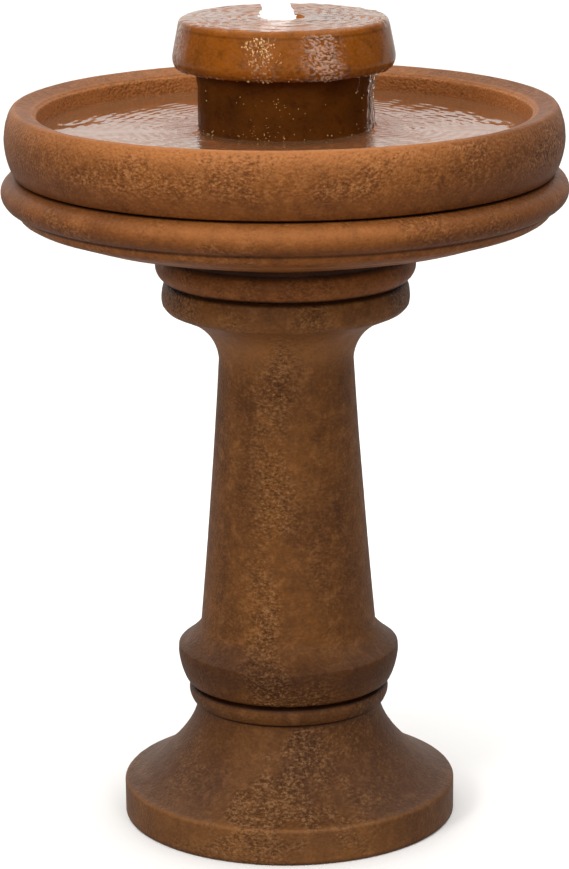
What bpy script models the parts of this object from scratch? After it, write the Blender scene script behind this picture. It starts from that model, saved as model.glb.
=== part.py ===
"""Pedestal water fountain in cast stone, with its pump and plumbing.

Stacked castings: a flared base, a turned column, a wide bowl and a mushroom-shaped cap that
stands in the bowl. The cap hides a submersible pump, whose hose feeds a copper pipe through the
cap, so that water wells up on top, runs down all round and falls back into the bowl.

Units are metres, +Z is up, and the origin is the centre of the base's underside. The fountain's
front, where the pump's strainer faces, is -Y, and the cord leaves the base at +Y.
"""

import math

import bpy
from mathutils import Matrix, Vector

# ---------------------------------------------------------------- driving sizes: the stack
BASE_H = 0.164  # ground to the seat that carries the column
COLUMN_H = 0.490
BOWL_H = 0.2055  # foot to rim
SHIM_T = 0.002  # rubber levelling shims between the castings
BOWL_DEPTH = 0.1335  # rim to the flat floor inside
CAP_RISE = 0.0995  # cap's top above the bowl's rim
CAP_PAD_T = 0.004  # rubber pads under the cap's stem

# ---------------------------------------------------------------- driving sizes: the castings
CAST_WALL = 0.024  # usual wall of a hollow casting
FIT_GAP = 0.0003  # air between pieces that touch
SEAT_GAP = 0.004  # loose clearance round a locating ring
SEAT_LIP_H = 0.008  # height of a locating ring
SEAT_LIP_T = 0.011  # thickness of a locating ring
CAST_SEGMENTS = 40
SMALL_SEGMENTS = 20

BASE_R = 0.199
PLINTH_H = 0.045  # upright wall at the foot of the base
PLINTH_WALL = 0.029
NECK_R = 0.1095  # waist of the base, under its ring
RING_R = 0.120
RING_H = 0.0225
CORD_NOTCH_W = 0.030
CORD_NOTCH_H = 0.024

BULGE_R = 0.132  # column's lower moulding
BULGE_H = 0.0505
SHAFT_FOOT_R = 0.104
SHAFT_NECK_R = 0.0795
SHAFT_HOLLOW = 0.0022  # how much the shaft's sides are pulled in from straight
CAPITAL_R = 0.146
CAPITAL_H = 0.034  # the rounded slab at the column's top
CAPITAL_SWEEP = 0.060  # the hollow sweep from the slab into the shaft

FOOT_R = 0.153  # bowl's foot
FOOT_H = 0.032
FOOT_HOLLOW_R = 0.100
UNDER_R = 0.302  # outer edge of the bowl's sloping underside
UNDER_EDGE_R = 0.258  # its inner edge
BEAD_R = 0.330  # the bead below the bowl's body
BEAD_H = 0.034
BODY_R = 0.325
BODY_H = 0.078  # rim to groove
GROOVE_DEPTH = 0.019
RIM_OUTER_R = 0.3155
RIM_INNER_R = 0.2866
RIM_FALL = 0.007  # the rim slopes down to its inner edge
DRAIN_R = 0.019

DRUM_TOP_R = 0.1207
DRUM_R = 0.129
DRUM_H = 0.056
STEM_R = 0.100
STEM_WALL = 0.022
CAP_ROOF_T = 0.026
INLET_W = 0.036  # water inlets at the foot of the stem
INLET_H = 0.018
WELL_R = 0.024  # shallow well round the nozzle
WELL_DEPTH = 0.006
PUMP_ROOM = 0.002  # least room left round the pump, where a slim stem is cut back for it

# ---------------------------------------------------------------- driving sizes: the plumbing
PIPE_R = 0.00795
PIPE_WALL = 0.001
PIPE_H = 0.083
PIPE_INSERT = 0.024  # how far the pipe reaches into the hose
GROMMET_T = 0.005
HOSE_WALL = 0.0025
ADAPTER_TUBE_H = 0.024
CLAMP_W = 0.009
CLAMP_T = 0.0009
STOPPER_FLANGE_T = 0.005
STOPPER_LIP = 0.004  # the stopper's flange beyond the drain
CORD_R = 0.0035
CORD_CLEARANCE = 0.0007

# ---------------------------------------------------------------- driving sizes: the pump
PUMP_W = 0.056
PUMP_H = 0.060
PUMP_CORNER = 0.005
MOTOR_L = 0.046
MOTOR_WALL = 0.0022
FOOT_CUP_H = 0.016
FOOT_CUP_R = 0.0085
ROTOR_RISE = 0.033  # rotor's axis above the pump's underside
MAGNET_R = 0.0092
MAGNET_L = 0.031
ROTOR_CLEARANCE = 0.0008
SLEEVE_T = 0.0014
IMPELLER_R = 0.0175
IMPELLER_L = 0.010
VANES = 6
VOLUTE_R = 0.0235
VOLUTE_L = 0.018
VOLUTE_WALL = 0.002
PLATE_T = 0.003
SPIGOT_R = 0.0066
SPIGOT_WALL = 0.0016
SPIGOT_H = 0.010
STRAINER_L = 0.040
STRAINER_WALL = 0.002
STRAINER_SLOTS = 7
SLOT_W = 0.003
DIAL_R = 0.011
DIAL_T = 0.005
DIAL_GRIP = 0.001  # gap that sets the grip bar off from the face behind it
GLAND_R = 0.0078
GLAND_L = 0.010
GLAND_RISE = 0.014  # its axis above the pump's underside
SHAFT_R = 0.0015
SHAFT_CLEARANCE = 0.0003

# ---------------------------------------------------------------- levels and places
COLUMN_Z = BASE_H + SHIM_T
COLUMN_TOP_Z = COLUMN_Z + COLUMN_H
BOWL_Z = COLUMN_TOP_Z + SHIM_T
RIM_Z = BOWL_Z + BOWL_H
FLOOR_Z = RIM_Z - BOWL_DEPTH
CAP_Z = FLOOR_Z + CAP_PAD_T
CAP_TOP_Z = RIM_Z + CAP_RISE
ROOF_Z = CAP_TOP_Z - CAP_ROOF_T
CHAMBER_R = STEM_R - STEM_WALL

COLUMN_BORE_FOOT_R = SHAFT_FOOT_R - CAST_WALL
COLUMN_BORE_TOP_R = SHAFT_NECK_R - CAST_WALL
BASE_LIP_R = COLUMN_BORE_FOOT_R + SEAT_LIP_T
SEAT_BORE_R = BASE_LIP_R + SEAT_GAP
TOP_LIP_R = FOOT_HOLLOW_R - SEAT_GAP

PUMP_Z = FLOOR_Z + FOOT_CUP_H
AXIS_Z = PUMP_Z + ROTOR_RISE
PUMP_TOP_Z = PUMP_Z + PUMP_H
VOLUTE_FRONT_Y = -VOLUTE_L / 2
VOLUTE_BACK_Y = VOLUTE_L / 2
MOTOR_Y = VOLUTE_BACK_Y + PLATE_T + FIT_GAP
MOTOR_BACK_Y = MOTOR_Y + MOTOR_L
SLEEVE_R = MAGNET_R + ROTOR_CLEARANCE
MAGNET_Y = MOTOR_Y - 0.0005
SLEEVE_END_Y = MAGNET_Y + MAGNET_L + 0.005
STRAINER_BACK_Y = VOLUTE_BACK_Y - FIT_GAP
STRAINER_Y = STRAINER_BACK_Y - STRAINER_L
SPIGOT_TOP_Z = PUMP_TOP_Z + SPIGOT_H
ADAPTER_R = SPIGOT_R + FIT_GAP + 0.0025
ADAPTER_Z = PUMP_TOP_Z + FIT_GAP
ADAPTER_SHOULDER_Z = SPIGOT_TOP_Z + 0.003
HOSE_BORE_R = PIPE_R + FIT_GAP
HOSE_R = HOSE_BORE_R + HOSE_WALL
HOSE_Z = ADAPTER_SHOULDER_Z + FIT_GAP
PIPE_TOP_Z = CAP_TOP_Z - 0.002
PIPE_Z = PIPE_TOP_Z - PIPE_H
HOSE_TOP_Z = PIPE_Z + PIPE_INSERT
GROMMET_BORE_R = PIPE_R + FIT_GAP
PIPE_HOLE_R = GROMMET_BORE_R + GROMMET_T + FIT_GAP

TURN_MERGE = 0.00005


# ---------------------------------------------------------------- scene, materials and helpers
def clear_scene():
    for thing in list(bpy.data.objects):
        bpy.data.objects.remove(thing, do_unlink=True)


def new_collection(name):
    made = bpy.data.collections.new(name)
    bpy.context.scene.collection.children.link(made)
    return made


def material(name, colour, roughness, metallic=0.0):
    made = bpy.data.materials.new(name)
    made.use_nodes = True
    shader = made.node_tree.nodes["Principled BSDF"]
    shader.inputs["Base Color"].default_value = (*colour, 1.0)
    shader.inputs["Roughness"].default_value = roughness
    shader.inputs["Metallic"].default_value = metallic
    made.diffuse_color = (*colour, 1.0)
    return made


clear_scene()
FOUNTAIN = new_collection("pedestal_fountain")
CUTTERS = new_collection("cutters")

STONE = material("cast_stone", (0.235, 0.105, 0.045), 0.75)
RUBBER = material("black_rubber", (0.02, 0.02, 0.02), 0.6)
COPPER = material("copper", (0.60, 0.26, 0.14), 0.35, 1.0)
BRASS = material("brass", (0.65, 0.47, 0.20), 0.35, 1.0)
STEEL = material("stainless_steel", (0.62, 0.62, 0.62), 0.3, 1.0)
VINYL = material("clear_vinyl", (0.75, 0.78, 0.76), 0.2)
PLASTIC = material("black_plastic", (0.025, 0.026, 0.028), 0.4)
IMPELLER_PLASTIC = material("white_plastic", (0.75, 0.74, 0.70), 0.4)
FERRITE = material("ferrite", (0.08, 0.08, 0.085), 0.5)
CERAMIC = material("ceramic", (0.85, 0.84, 0.80), 0.2)
LAMINATION = material("lamination_steel", (0.35, 0.35, 0.36), 0.4, 1.0)
WINDING = material("copper_winding", (0.55, 0.22, 0.10), 0.3, 1.0)
RESIN = material("potting_resin", (0.05, 0.05, 0.055), 0.3)


def add_object(name, data, finish=None):
    made = bpy.data.objects.new(name, data)
    FOUNTAIN.objects.link(made)
    if finish is not None:
        data.materials.append(finish)
    return made


def adopt(name, finish=None):
    """Names the object that a bpy.ops primitive has just made and files it in the fountain."""
    made = bpy.context.active_object
    made.name = name
    made.data.name = name
    for home in list(made.users_collection):
        home.objects.unlink(made)
    FOUNTAIN.objects.link(made)
    if finish is not None:
        made.data.materials.append(finish)
    return made


def arc(centre_r, centre_z, radius, start, end, points):
    """Profile points (r, z) on a round stretch, from one angle to another in degrees."""
    angles = [
        math.radians(start + (end - start) * i / (points - 1)) for i in range(points)
    ]
    return [
        (centre_r + radius * math.cos(a), centre_z + radius * math.sin(a))
        for a in angles
    ]


def curve_between(start, pull, end, points):
    """Profile points on a quadratic curve that leaves start and reaches end along lines through pull."""
    found = []
    for i in range(points):
        t = i / (points - 1)
        found.append(
            tuple(
                (1 - t) ** 2 * a + 2 * t * (1 - t) * b + t**2 * c
                for a, b, c in zip(start, pull, end)
            )
        )
    return found


def without_repeats(points):
    kept = []
    for point in points:
        if not kept or math.dist(point, kept[-1]) > 1e-6:
            kept.append(point)
    if math.dist(kept[0], kept[-1]) < 1e-6:
        kept.pop()
    return kept


def turned(name, profile, finish, segments=SMALL_SEGMENTS, closed=True):
    """A turned piece: the (r, z) profile runs down its outer side and back up its bore.

    A profile that isn't closed starts and ends on the axis.
    """
    points = without_repeats(profile)
    mesh = bpy.data.meshes.new(name)
    edges = [(i, i + 1) for i in range(len(points) - 1)]
    if closed:
        edges.append((len(points) - 1, 0))
    mesh.from_pydata([(r, 0.0, z) for r, z in points], edges, [])
    made = add_object(name, mesh, finish)
    turn = made.modifiers.new("turn", "SCREW")
    turn.angle = math.tau
    turn.steps = segments
    turn.render_steps = segments
    turn.use_merge_vertices = True
    turn.merge_threshold = TURN_MERGE
    return made


def tube(name, outer_r, inner_r, low, high, finish, segments=SMALL_SEGMENTS):
    """A plain upright tube between two levels."""
    profile = [(inner_r, high), (outer_r, high), (outer_r, low), (inner_r, low)]
    return turned(name, profile, finish, segments)


def rounded_block(name, size, centre, radius, finish):
    bpy.ops.mesh.primitive_cube_add(size=1.0)
    block = adopt(name, finish)
    block.data.transform(Matrix.Diagonal((*size, 1.0)))
    block.location = centre
    if radius:
        bevel = block.modifiers.new("round", "BEVEL")
        bevel.width = radius
        bevel.segments = 2
    return block


def rod(name, radius, start, end, finish=None, segments=SMALL_SEGMENTS):
    """A round bar from one point to another."""
    start, end = Vector(start), Vector(end)
    along = end - start
    bpy.ops.mesh.primitive_cylinder_add(
        radius=radius, depth=along.length, vertices=segments
    )
    bar = adopt(name, finish)
    bar.data.transform(along.to_track_quat("Z", "Y").to_matrix().to_4x4())
    bar.location = (start + end) / 2
    return bar


def as_helper(thing):
    """Makes an object a hidden cutter."""
    FOUNTAIN.objects.unlink(thing)
    CUTTERS.objects.link(thing)
    thing.hide_render = True
    thing.display_type = "WIRE"
    return thing


def join_shape(target, tool):
    combine(target, tool, "UNION")


def cut_shape(target, tool):
    combine(target, tool, "DIFFERENCE")


def combine(target, tool, operation):
    step = target.modifiers.new(operation.lower(), "BOOLEAN")
    step.operation = operation
    step.solver = "EXACT"
    step.object = as_helper(tool)


def lay_along_y(thing, centre):
    """Turns an upright turned piece so that its axis runs along Y, its top towards -Y."""
    thing.rotation_euler = (math.pi / 2, 0, 0)
    thing.location = centre
    return thing


# ---------------------------------------------------------------- castings
def pedestal_base():
    """Flared foot with a round ring on top, hollow below, with a notch for the cord."""
    ring_low = BASE_H - RING_H
    bend = (NECK_R + 0.034, PLINTH_H + 0.034)
    lip_top = BASE_H + SEAT_LIP_H
    outside = [
        (COLUMN_BORE_FOOT_R, lip_top),
        (BASE_LIP_R, lip_top),
        (BASE_LIP_R, BASE_H),
        (RING_R - 0.006, BASE_H),
        *curve_between(
            (RING_R - 0.002, BASE_H - 0.0015),
            (RING_R + 0.001, BASE_H - 0.008),
            (RING_R - 0.002, ring_low + 0.007),
            3,
        ),
        (RING_R - 0.0045, ring_low + 0.0015),
        (NECK_R + 0.001, ring_low),
        *curve_between(
            (NECK_R, ring_low - 0.004),
            (NECK_R + 0.005, bend[1] + 0.030),
            bend,
            5,
        ),
        *curve_between(
            bend, (NECK_R + 0.058, PLINTH_H + 0.0105), (BASE_R - 0.009, PLINTH_H + 0.001), 4
        ),
        (BASE_R - 0.002, PLINTH_H - 0.001),
        (BASE_R, PLINTH_H - 0.004),
        (BASE_R, 0.002),
        (BASE_R - 0.002, 0.0),
    ]
    hollow_top = BASE_H - 0.045
    inside = [
        (BASE_R - PLINTH_WALL, 0.0),
        (BASE_R - PLINTH_WALL, PLINTH_H - CAST_WALL),
        (NECK_R - CAST_WALL + 0.010, hollow_top - 0.008),
        (COLUMN_BORE_FOOT_R, hollow_top + 0.012),
    ]
    base = turned("pedestal_base", outside + inside, STONE, CAST_SEGMENTS)
    notch_reach = PLINTH_WALL * 2
    notch_y = BASE_R - PLINTH_WALL / 2
    notch_low = -0.01
    notch_top = CORD_NOTCH_H - CORD_NOTCH_W / 2
    arch = rod(
        "cord_notch_arch",
        CORD_NOTCH_W / 2,
        (0, notch_y - notch_reach / 2, notch_top),
        (0, notch_y + notch_reach / 2, notch_top),
    )
    slot = rounded_block(
        "cord_notch_slot",
        (CORD_NOTCH_W, notch_reach, notch_top - notch_low),
        (0, notch_y, (notch_top + notch_low) / 2),
        0,
        None,
    )
    cut_shape(base, arch)
    cut_shape(base, slot)
    return base


def pedestal_column():
    """Tapered shaft between a rounded lower moulding and a wide capital, bored for the cord."""
    low, top = COLUMN_Z, COLUMN_TOP_Z
    lip_top = top + SEAT_LIP_H
    slab_low = top - CAPITAL_H
    sweep_low = slab_low - CAPITAL_SWEEP
    bulge_top = low + BULGE_H
    shaft_low = bulge_top + 0.027
    shaft_mid_r = (SHAFT_FOOT_R + SHAFT_NECK_R) / 2 - SHAFT_HOLLOW
    outside = [
        (TOP_LIP_R - SEAT_LIP_T, lip_top),
        (TOP_LIP_R, lip_top),
        (TOP_LIP_R, top),
        (CAPITAL_R - 0.006, top),
        *curve_between(
            (CAPITAL_R - 0.003, top - 0.0035),
            (CAPITAL_R + 0.0015, top - 0.017),
            (CAPITAL_R - 0.0015, top - 0.028),
            4,
        ),
        (CAPITAL_R - 0.0065, slab_low),
        *curve_between(
            (CAPITAL_R - 0.0205, slab_low - 0.006),
            (SHAFT_NECK_R + 0.0035, slab_low - 0.023),
            (SHAFT_NECK_R, sweep_low),
            6,
        ),
        *curve_between(
            (SHAFT_NECK_R + 0.0012, sweep_low - 0.02),
            (shaft_mid_r, (sweep_low + shaft_low) / 2),
            (SHAFT_FOOT_R, shaft_low),
            4,
        ),
        *curve_between(
            (SHAFT_FOOT_R + 0.0005, shaft_low - 0.006),
            (SHAFT_FOOT_R + 0.005, bulge_top + 0.012),
            (BULGE_R - 0.008, bulge_top),
            4,
        ),
        (BULGE_R - 0.0005, bulge_top - 0.0055),
        *curve_between(
            (BULGE_R, bulge_top - 0.014),
            (BULGE_R - 0.002, low + 0.018),
            (BULGE_R - 0.0095, low + 0.004),
            4,
        ),
        (BULGE_R - 0.0155, low),
    ]
    inside = [
        (SEAT_BORE_R, low),
        (SEAT_BORE_R, low + SEAT_LIP_H + SEAT_GAP),
        (COLUMN_BORE_FOOT_R, bulge_top),
        (COLUMN_BORE_TOP_R, sweep_low),
        (COLUMN_BORE_TOP_R, slab_low),
    ]
    return turned("pedestal_column", outside + inside, STONE, CAST_SEGMENTS)


def bowl():
    """Wide bowl: rounded rim, full body, groove and bead, and a foot that sits on the column."""
    rim, low = RIM_Z, BOWL_Z
    groove_z = rim - BODY_H
    groove_r = BODY_R - GROOVE_DEPTH
    bead_half = BEAD_H / 2
    bead_mid = groove_z - bead_half - 0.003
    bead_low = bead_mid - bead_half
    under_z = rim - 0.1295
    under_edge_z = rim - 0.144
    foot_top = low + FOOT_H
    outside = [
        (RIM_INNER_R + 0.004, rim - RIM_FALL + 0.0005),
        (RIM_OUTER_R - 0.004, rim),
        (RIM_OUTER_R, rim - 0.0015),
        *curve_between(
            (RIM_OUTER_R + 0.003, rim - 0.0065),
            (BODY_R + 0.006, rim - 0.0375),
            (BODY_R - 0.007, groove_z + 0.0085),
            6,
        ),
        (BODY_R - 0.0115, groove_z + 0.001),
        (groove_r, groove_z + 0.001),
        (groove_r, groove_z - 0.0015),
        (groove_r + 0.007, groove_z - 0.002),
        *arc(BEAD_R - bead_half, bead_mid, bead_half, 68, -64, 7),
        (UNDER_R + 0.0105, bead_low - 0.0005),
        (UNDER_R + 0.0100, bead_low - 0.0045),
        (UNDER_R + 0.0065, under_z + 0.004),
        (UNDER_R, under_z),
        (UNDER_EDGE_R, under_edge_z),
        (UNDER_EDGE_R - 0.006, under_edge_z + 0.0015),
        (FOOT_R + 0.012, foot_top + 0.013),
        (FOOT_R - 0.005, foot_top + 0.004),
        (FOOT_R - 0.006, foot_top),
        *curve_between(
            (FOOT_R - 0.002, foot_top - 0.007),
            (FOOT_R + 0.0025, foot_top - 0.018),
            (FOOT_R - 0.0045, low + 0.005),
            4,
        ),
        (FOOT_R - 0.0095, low),
    ]
    inside = [
        (FOOT_HOLLOW_R, low),
        (FOOT_HOLLOW_R - 0.002, FLOOR_Z - CAST_WALL - 0.004),
        (DRAIN_R, FLOOR_Z - CAST_WALL - 0.004),
        (DRAIN_R, FLOOR_Z),
        (RIM_INNER_R - 0.120, FLOOR_Z),
        *curve_between(
            (RIM_INNER_R - 0.046, FLOOR_Z + 0.012),
            (RIM_INNER_R - 0.006, FLOOR_Z + 0.020),
            (RIM_INNER_R - 0.004, FLOOR_Z + 0.062),
            4,
        ),
        (RIM_INNER_R, rim - RIM_FALL - 0.003),
    ]
    return turned("bowl", outside + inside, STONE, CAST_SEGMENTS)


def fountain_cap():
    """Mushroom cap: a flat-topped drum on a hollow stem, with water inlets at its foot."""
    top = CAP_TOP_Z
    drum_low = top - DRUM_H
    outside = [
        (PIPE_HOLE_R, top - WELL_DEPTH),
        (WELL_R - 0.004, top - WELL_DEPTH),
        (WELL_R, top),
        (DRUM_TOP_R - 0.005, top),
        (DRUM_TOP_R - 0.001, top - 0.002),
        (DRUM_TOP_R + 0.001, top - 0.008),
        *curve_between(
            (DRUM_R - 0.0015, drum_low + 0.018),
            (DRUM_R + 0.0015, drum_low + 0.005),
            (DRUM_R - 0.006, drum_low + 0.001),
            4,
        ),
        (STEM_R + 0.007, drum_low),
        (STEM_R + 0.0025, drum_low - 0.007),
        (STEM_R, drum_low - 0.022),
        (STEM_R, CAP_Z + 0.003),
        (STEM_R - 0.003, CAP_Z),
    ]
    inside = [
        (CHAMBER_R, CAP_Z),
        (CHAMBER_R, ROOF_Z - 0.010),
        (CHAMBER_R - 0.010, ROOF_Z),
        (PIPE_HOLE_R, ROOF_Z),
    ]
    cap = turned("fountain_cap", outside + inside, STONE, CAST_SEGMENTS)
    reach = STEM_R * 2.4
    for axis, size in (("x", (reach, INLET_W)), ("y", (INLET_W, reach))):
        inlet = rounded_block(
            f"inlet_{axis}",
            (*size, INLET_H * 2),
            (0, 0, CAP_Z),
            0,
            None,
        )
        cut_shape(cap, inlet)
    clear_the_pump(cap)
    return cap


def clear_the_pump(cap):
    """Cuts the stem back wherever it would touch the pump, down to its foot, so that it lifts clear."""
    low = CAP_Z - 0.010
    front = STRAINER_Y - FIT_GAP - DIAL_T - DIAL_GRIP - PUMP_ROOM
    body_back = MOTOR_BACK_Y + PUMP_ROOM
    body_top = PUMP_TOP_Z + PUMP_ROOM
    gland_back = MOTOR_BACK_Y + GLAND_L + PUMP_ROOM
    gland_top = PUMP_Z + GLAND_RISE + GLAND_R + PUMP_ROOM
    for name, width, start, end, high in (
        ("pump_room", PUMP_W + 2 * PUMP_ROOM, front, body_back, body_top),
        ("gland_room", 2 * (GLAND_R + PUMP_ROOM), 0, gland_back, gland_top),
    ):
        room = rounded_block(
            name,
            (width, end - start, high - low),
            (0, (start + end) / 2, (low + high) / 2),
            0,
            None,
        )
        cut_shape(cap, room)


# ---------------------------------------------------------------- shims and pads
def pads(stem_name, count, ring_r, radius, low, thickness, first_angle=0.0):
    """Round rubber pads, evenly spaced on a circle, one object each."""
    for i in range(count):
        angle = math.radians(first_angle + 360 * i / count)
        x, y = ring_r * math.cos(angle), ring_r * math.sin(angle)
        rod(
            f"{stem_name}_{i + 1}",
            radius,
            (x, y, low + FIT_GAP),
            (x, y, low + thickness - FIT_GAP),
            RUBBER,
            12,
        )


def levelling_pads():
    pads("base_shim", 3, (SEAT_BORE_R + BULGE_R - 0.018) / 2, 0.0075, BASE_H, SHIM_T, 90)
    pads("bowl_shim", 3, (TOP_LIP_R + CAPITAL_R) / 2 - 0.001, 0.011, COLUMN_TOP_Z, SHIM_T, 90)
    pads("cap_pad", 4, (CHAMBER_R + STEM_R) / 2, 0.009, FLOOR_Z, CAP_PAD_T, 45)


# ---------------------------------------------------------------- drain stopper and nozzle
def drain_stopper():
    """Rubber stopper in the bowl's drain, bored and slit for the pump's cord."""
    plug_r = DRAIN_R - FIT_GAP
    plug_low = FLOOR_Z - CAST_WALL - 0.008
    flange_low = FLOOR_Z + FIT_GAP
    bore = CORD_R + CORD_CLEARANCE
    profile = [
        (bore, flange_low + STOPPER_FLANGE_T),
        (DRAIN_R + STOPPER_LIP - 0.001, flange_low + STOPPER_FLANGE_T),
        (DRAIN_R + STOPPER_LIP, flange_low + STOPPER_FLANGE_T - 0.001),
        (DRAIN_R + STOPPER_LIP, flange_low),
        (plug_r, flange_low),
        (plug_r - 0.0015, plug_low),
        (bore, plug_low),
    ]
    stopper = turned("drain_stopper", profile, RUBBER, 24)
    slit_l = DRAIN_R + 0.008
    slit = rounded_block(
        "stopper_slit", (0.001, slit_l, 0.06), (0, slit_l / 2, FLOOR_Z - 0.01), 0, None
    )
    cut_shape(stopper, slit)


def nozzle():
    """Copper pipe through the cap's roof, in a rubber grommet, held by a brass lock nut."""
    tube(
        "nozzle_pipe", PIPE_R, PIPE_R - PIPE_WALL, PIPE_Z, PIPE_TOP_Z, COPPER, 24
    )
    grommet_r = PIPE_HOLE_R - FIT_GAP
    flange_top = ROOF_Z - FIT_GAP
    flange_low = flange_top - 0.003
    turned(
        "nozzle_grommet",
        [
            (GROMMET_BORE_R, CAP_TOP_Z - WELL_DEPTH),
            (grommet_r, CAP_TOP_Z - WELL_DEPTH),
            (grommet_r, flange_top),
            (grommet_r + 0.005, flange_top),
            (grommet_r + 0.005, flange_low),
            (GROMMET_BORE_R, flange_low),
        ],
        RUBBER,
    )
    nut_top = flange_low - FIT_GAP
    nut = rod(
        "nozzle_locknut", grommet_r + 0.003, (0, 0, nut_top - 0.006), (0, 0, nut_top), BRASS, 6
    )
    bore = rod("locknut_bore", GROMMET_BORE_R, (0, 0, nut_top - 0.01), (0, 0, nut_top + 0.01))
    cut_shape(nut, bore)


# ---------------------------------------------------------------- hose and clamp
def hose_and_adapter():
    """Vinyl hose from the pump's adapter up to the nozzle pipe, which is a push fit in it."""
    tube("supply_hose", HOSE_R, HOSE_BORE_R, HOSE_Z, HOSE_TOP_Z, VINYL, 24)
    tube_top = ADAPTER_SHOULDER_Z + ADAPTER_TUBE_H
    waterway = SPIGOT_R - SPIGOT_WALL
    socket_r = SPIGOT_R + FIT_GAP
    turned(
        "hose_adapter",
        [
            (waterway, tube_top),
            (PIPE_R - 0.001, tube_top),
            (PIPE_R, tube_top - 0.004),
            (PIPE_R - 0.0007, tube_top - 0.0045),
            (PIPE_R, tube_top - 0.010),
            (PIPE_R - 0.0007, tube_top - 0.0105),
            (PIPE_R, tube_top - 0.016),
            (PIPE_R, ADAPTER_SHOULDER_Z),
            (ADAPTER_R, ADAPTER_SHOULDER_Z),
            (ADAPTER_R, ADAPTER_Z),
            (socket_r, ADAPTER_Z),
            (socket_r, SPIGOT_TOP_Z + FIT_GAP),
            (waterway, SPIGOT_TOP_Z + FIT_GAP),
        ],
        PLASTIC,
    )


def hose_clamp():
    """Worm-drive clamp round the hose's foot: a band with a screw housing, and its screw."""
    mid_z = HOSE_Z + 0.003 + CLAMP_W / 2
    band_bore = HOSE_R + FIT_GAP
    band_r = band_bore + CLAMP_T
    band = tube(
        "hose_clamp_band", band_r, band_bore, mid_z - CLAMP_W / 2, mid_z + CLAMP_W / 2, STEEL, 24
    )
    screw_x = band_r + 0.0032
    screw_r = 0.0022
    housing_l = 0.012
    housing = rounded_block(
        "clamp_housing",
        (0.0072, housing_l, CLAMP_W - 0.001),
        (screw_x, 0, mid_z),
        0,
        None,
    )
    join_shape(band, housing)
    inner = rod("clamp_bore", band_bore, (0, 0, mid_z - 0.02), (0, 0, mid_z + 0.02), None, 24)
    cut_shape(band, inner)
    worm_way = rod(
        "clamp_worm_way", screw_r + FIT_GAP, (screw_x, -0.02, mid_z), (screw_x, 0.02, mid_z), None, 12
    )
    cut_shape(band, worm_way)
    screw = rod(
        "hose_clamp_screw",
        screw_r,
        (screw_x, -housing_l / 2 - 0.002, mid_z),
        (screw_x, housing_l / 2 + 0.004, mid_z),
        STEEL,
        12,
    )
    head_y = -housing_l / 2 - FIT_GAP
    head = rod(
        "clamp_screw_head", 0.0042, (screw_x, head_y - 0.004, mid_z), (screw_x, head_y, mid_z), None, 6
    )
    join_shape(screw, head)
    slot = rounded_block(
        "clamp_screw_slot", (0.001, 0.003, 0.012), (screw_x, head_y - 0.004, mid_z), 0, None
    )
    cut_shape(screw, slot)


# ---------------------------------------------------------------- pump
def pump_block(name, front_y, back_y, radius, finish, shrink=0.0):
    """A block of the pump's outline between two Y planes, taken in all round by shrink."""
    return rounded_block(
        name,
        (PUMP_W - 2 * shrink, back_y - front_y, PUMP_H - 2 * shrink),
        (0, (front_y + back_y) / 2, PUMP_Z + PUMP_H / 2),
        radius,
        finish,
    )


def along_axis(name, radius, front_y, back_y, finish=None, segments=SMALL_SEGMENTS):
    """A round bar on the rotor's axis."""
    return rod(
        name, radius, (0, front_y, AXIS_Z), (0, back_y, AXIS_Z), finish, segments
    )


def foot_places():
    across = PUMP_W / 2 - FOOT_CUP_R + 0.001
    clear_of_stopper = DRAIN_R + STOPPER_LIP + FOOT_CUP_R + 0.002
    front_y = math.sqrt(clear_of_stopper**2 - across**2)
    back_y = MOTOR_BACK_Y - FOOT_CUP_R
    return [(side * across, y) for side in (-1, 1) for y in (front_y, back_y)]


def motor_housing():
    """Moulded housing, open at the back, with the sleeve that the magnet turns in."""
    housing = pump_block("motor_housing", MOTOR_Y, MOTOR_BACK_Y, PUMP_CORNER, PLASTIC)
    cavity = pump_block(
        "motor_cavity", MOTOR_Y + MOTOR_WALL, MOTOR_BACK_Y + 0.01, 0, None, MOTOR_WALL
    )
    cut_shape(housing, cavity)
    sleeve = along_axis(
        "rotor_sleeve", SLEEVE_R + SLEEVE_T, MOTOR_Y + MOTOR_WALL / 2, SLEEVE_END_Y + SLEEVE_T
    )
    join_shape(housing, sleeve)
    cut_shape(housing, along_axis("rotor_bore", SLEEVE_R, MOTOR_Y - 0.01, SLEEVE_END_Y))
    return housing


def motor_feet(housing):
    """Four suction cups, each with a stub pressed into the housing's floor."""
    stub_r = 0.0028
    for i, (x, y) in enumerate(foot_places()):
        socket = rod(
            f"foot_socket_{i + 1}",
            stub_r + FIT_GAP,
            (x, y, PUMP_Z - 0.01),
            (x, y, PUMP_Z + MOTOR_WALL + 0.01),
            None,
            12,
        )
        cut_shape(housing, socket)
        floor = FIT_GAP - FOOT_CUP_H
        cup = turned(
            f"suction_foot_{i + 1}",
            [
                (0.0, 0.0018),
                (stub_r, 0.0018),
                (stub_r, -FIT_GAP),
                (0.0048, -FIT_GAP),
                (0.0048, -0.0035),
                (0.0030, -0.0060),
                (FOOT_CUP_R, floor + 0.0012),
                (FOOT_CUP_R, floor),
                (FOOT_CUP_R - 0.0015, floor),
                (0.0, floor + 0.0045),
            ],
            RUBBER,
            16,
            closed=False,
        )
        cup.location = (x, y, PUMP_Z)


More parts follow.
